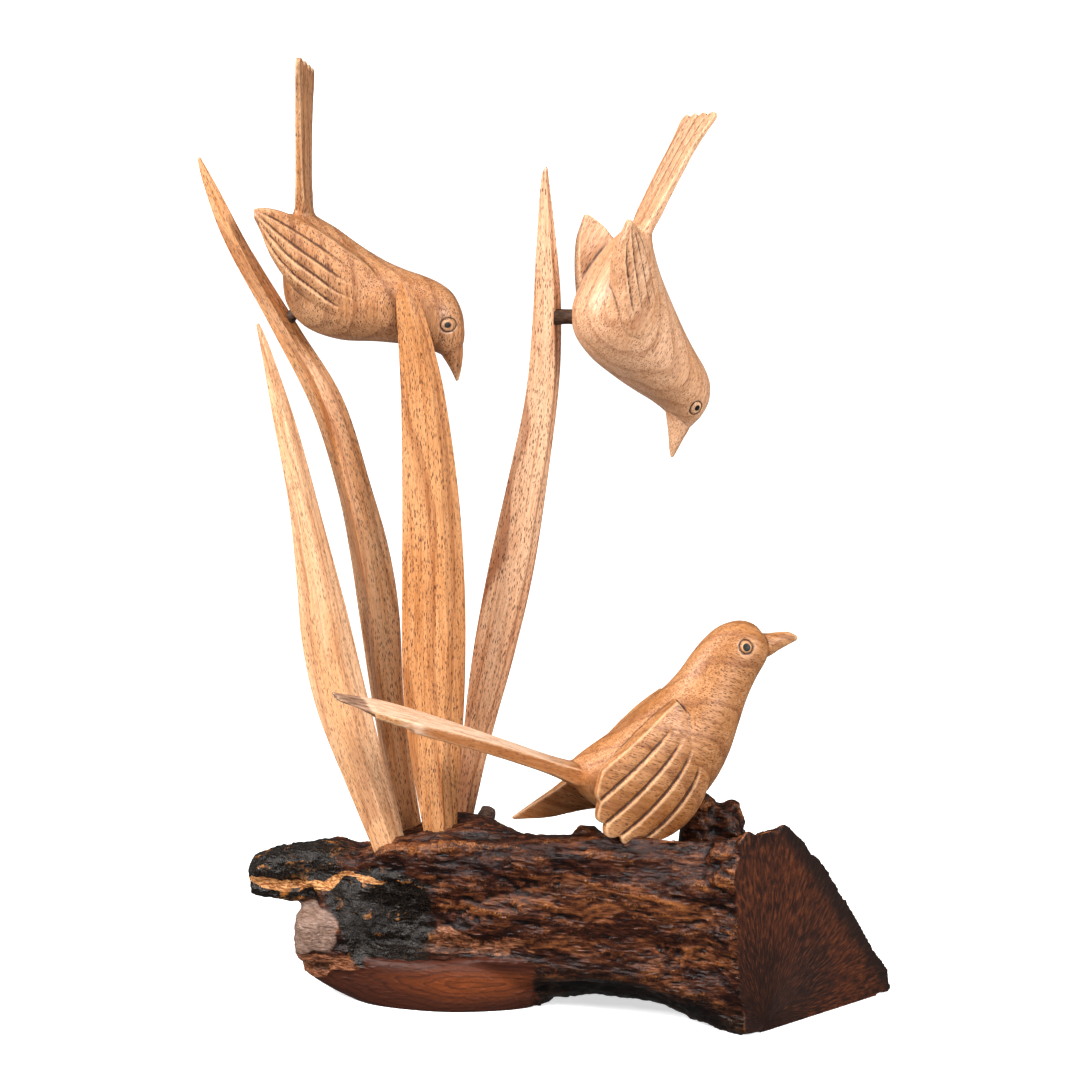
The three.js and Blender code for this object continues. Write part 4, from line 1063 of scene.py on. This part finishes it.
def root_finish():
    """Dark lacquered bark, charred where the limbs were burnt off, with a sawn end, a smooth-cut foot, and
    painted shade in the crevices and low down.
    """
    f = Finish("root_lacquered")
    at = f.place()
    turned = f.place((0, 0, math.atan2(LOG_AXIS[1], LOG_AXIS[0])))
    hollow, sawn, cut, char, stump, torn, band, shade = (
        f.kept(name) for name in ("hollow", "sawn", "cut", "char", "stump", "torn", "band", "shade"))
    patch = f.noise(turned, (0.03, 0.09, 0.09), 4, 0.6)
    thread = f.noise(turned, (0.11, 0.5, 0.5), 5, 0.65)
    grit = f.noise(at, (1.4, 1.4, 1.4), 4, 0.7)
    splinters = f.noise(turned, (0.3, 1.6, 1.6), 4, 0.6)
    ridge = 1 - f.step(hollow, 0.2, 0.55)
    # Where painted shade darkens the deepest hollows.
    crevice_shade = f.step(hollow, 0.5, 0.75)
    colour = bark_colour(f, patch, thread, grit, ridge, crevice_shade, shade)
    raw = f.blend(f.step(splinters, 0.35, 0.65), "562d19", "a87252")
    # Painted shade in the hollows of the torn wood.
    raw = f.blend(crevice_shade * 0.8, raw, "2a140a")
    colour = f.blend(f.step(torn + (grit - 0.5) * 0.7, 0.4, 0.6), colour, raw)
    burnt = burnt_colour(f, turned, grit, ridge)
    colour = f.blend(f.step(char + (patch - 0.5) * 0.8, 0.35, 0.6), colour, burnt)
    bare = f.blend(f.step(splinters, 0.4, 0.62), "8a5228", "d9a36c")
    colour = f.blend(f.step(band + (grit - 0.5) * 0.9, 0.45, 0.6), colour, bare)
    weathered = f.blend(f.step(splinters, 0.3, 0.7), "6e5548", "a58a7b")
    colour = f.blend(f.step(stump + (patch - 0.5) * 0.5, 0.35, 0.6) * 0.9, colour, weathered)
    colour = f.blend(f.step(cut + (patch - 0.5) * 0.2, 0.3, 0.5), colour, foot_colour(f, at))
    end, fibres = end_colour(f, at, grit)
    sawn_face = f.step(sawn, 0.3, 0.7)
    colour = f.blend(sawn_face, colour, end)
    gloss = 1 - f.math("MAXIMUM", sawn_face, cut * 0.6)
    scales = f.node("TexNoise", {"noise_type": "RIDGED_MULTIFRACTAL", "normalize": True},
                    {"Vector": f.vector("MULTIPLY", turned, (0.2, 0.6, 0.6)), "Scale": 1, "Detail": 5,
                     "Roughness": 0.6})
    relief = (scales * 0.8 + grit * 0.3) * (0.08 + gloss) - fibres * sawn * 0.6
    return f.end({"Base Color": colour, "Roughness": 0.55 - gloss * 0.42 + thread * 0.16,
                  "Normal": f.bump(relief, 0.9, 0.0012), "Specular IOR Level": 0.35})


def peg_finish():
    """Dark, dry wood with streaks."""
    f = Finish("peg_wood_dark")
    streak = f.noise(f.place(), (0.4, 1.5, 1.5), 4, 0.6)
    colour = f.ramp(streak, [(0.3, "241509"), (0.5, "4b3120"), (0.75, "6d4c33")])
    return f.end({"Base Color": colour, "Roughness": 0.6, "Normal": f.bump(streak, 0.5, 0.0004)})


for name, sizes in BIRDS.items():
    bird(name, sizes, bird_finish(name, sizes))
for name, sizes in BLADES.items():
    blade(name, *sizes, blade_finish(name))
for name, sizes in PEGS.items():
    peg(name, *sizes, peg_finish())
root(root_finish())


# The floor, the light and the camera

def studio_piece(name, points, faces, pale, glow, seen_by):
    """A pale piece of the studio, which only rays of the given kind meet."""
    piece = placed(name, mesh_of(name, np.array(points, float), [np.array(faces)]))
    piece.data.materials.append(Finish(name).end({
        "Base Color": (pale, pale, pale, 1), "Roughness": 0.9,
        "Emission Color": (1, 1, 1, 1), "Emission Strength": glow}))
    for rays in ("camera", "diffuse", "glossy", "transmission", "shadow"):
        setattr(piece, "visible_" + rays, rays == seen_by)


def wall():
    """The points and faces of a round wall about the floor."""
    turn = round_turn(WALL_SIDES)
    rim = STUDIO_REACH * np.stack([np.cos(turn), np.sin(turn), 0 * turn], 1)
    side = np.arange(WALL_SIDES)
    after = (side + 1) % WALL_SIDES
    faces = np.stack([side, after, after + WALL_SIDES, side + WALL_SIDES], 1)
    return np.concatenate([rim, rim + np.array([0, 0, STUDIO_REACH])]), faces


def pointed(way):
    """The turn that points a lamp or a camera along a way."""
    return Vector(way).to_track_quat("-Z", "Y").to_euler()


def lamp(name, kind, place, aim, power, **settings):
    light = bpy.data.lights.new(name, kind)
    light.energy = power
    for setting, value in settings.items():
        setattr(light, setting, value)
    holder = placed(name, light)
    holder.location = place
    holder.rotation_euler = pointed(Vector(aim) - Vector(place))


square = STUDIO_REACH * np.array([[-1, -1, 0], [1, -1, 0], [1, 1, 0], [-1, 1, 0]])
studio_piece("floor", square, [[0, 1, 2, 3]], 0.9, 0.45, "camera")
studio_piece("bounce", square, [[0, 1, 2, 3]], 0.36, 0.1, "diffuse")
studio_piece("wall", *wall(), 0.9, 1.0, "camera")
lamp("window", "AREA", (-1.2, -0.6, 1.05), LAMP_AIM, 27, shape="DISK", size=0.7)
lamp("fill", "AREA", (1.15, -0.95, 0.85), LAMP_AIM, 21, shape="DISK", size=0.8)
lamp("sky", "SUN", (0, 0, 0), (0.25, 0.35, -1), 1.75, angle=math.radians(50))

scene = bpy.context.scene
scene.world = bpy.data.worlds.new("studio")
scene.world.use_nodes = True
surround = scene.world.node_tree.nodes["Background"].inputs
surround["Color"].default_value = (1, 1, 1, 1)
surround["Strength"].default_value = SURROUND
scene.view_settings.view_transform = "Standard"
scene.view_settings.exposure = EXPOSURE
scene.view_settings.gamma = GAMMA

camera = placed("camera", bpy.data.cameras.new("camera"))
camera.data.lens = LENS
camera.data.sensor_width = SENSOR
camera.location = CAMERA_AIM + CAMERA_RANGE * Vector((0, -math.cos(CAMERA_RISE), math.sin(CAMERA_RISE)))
camera.rotation_euler = pointed(CAMERA_AIM - camera.location)
scene.camera = camera
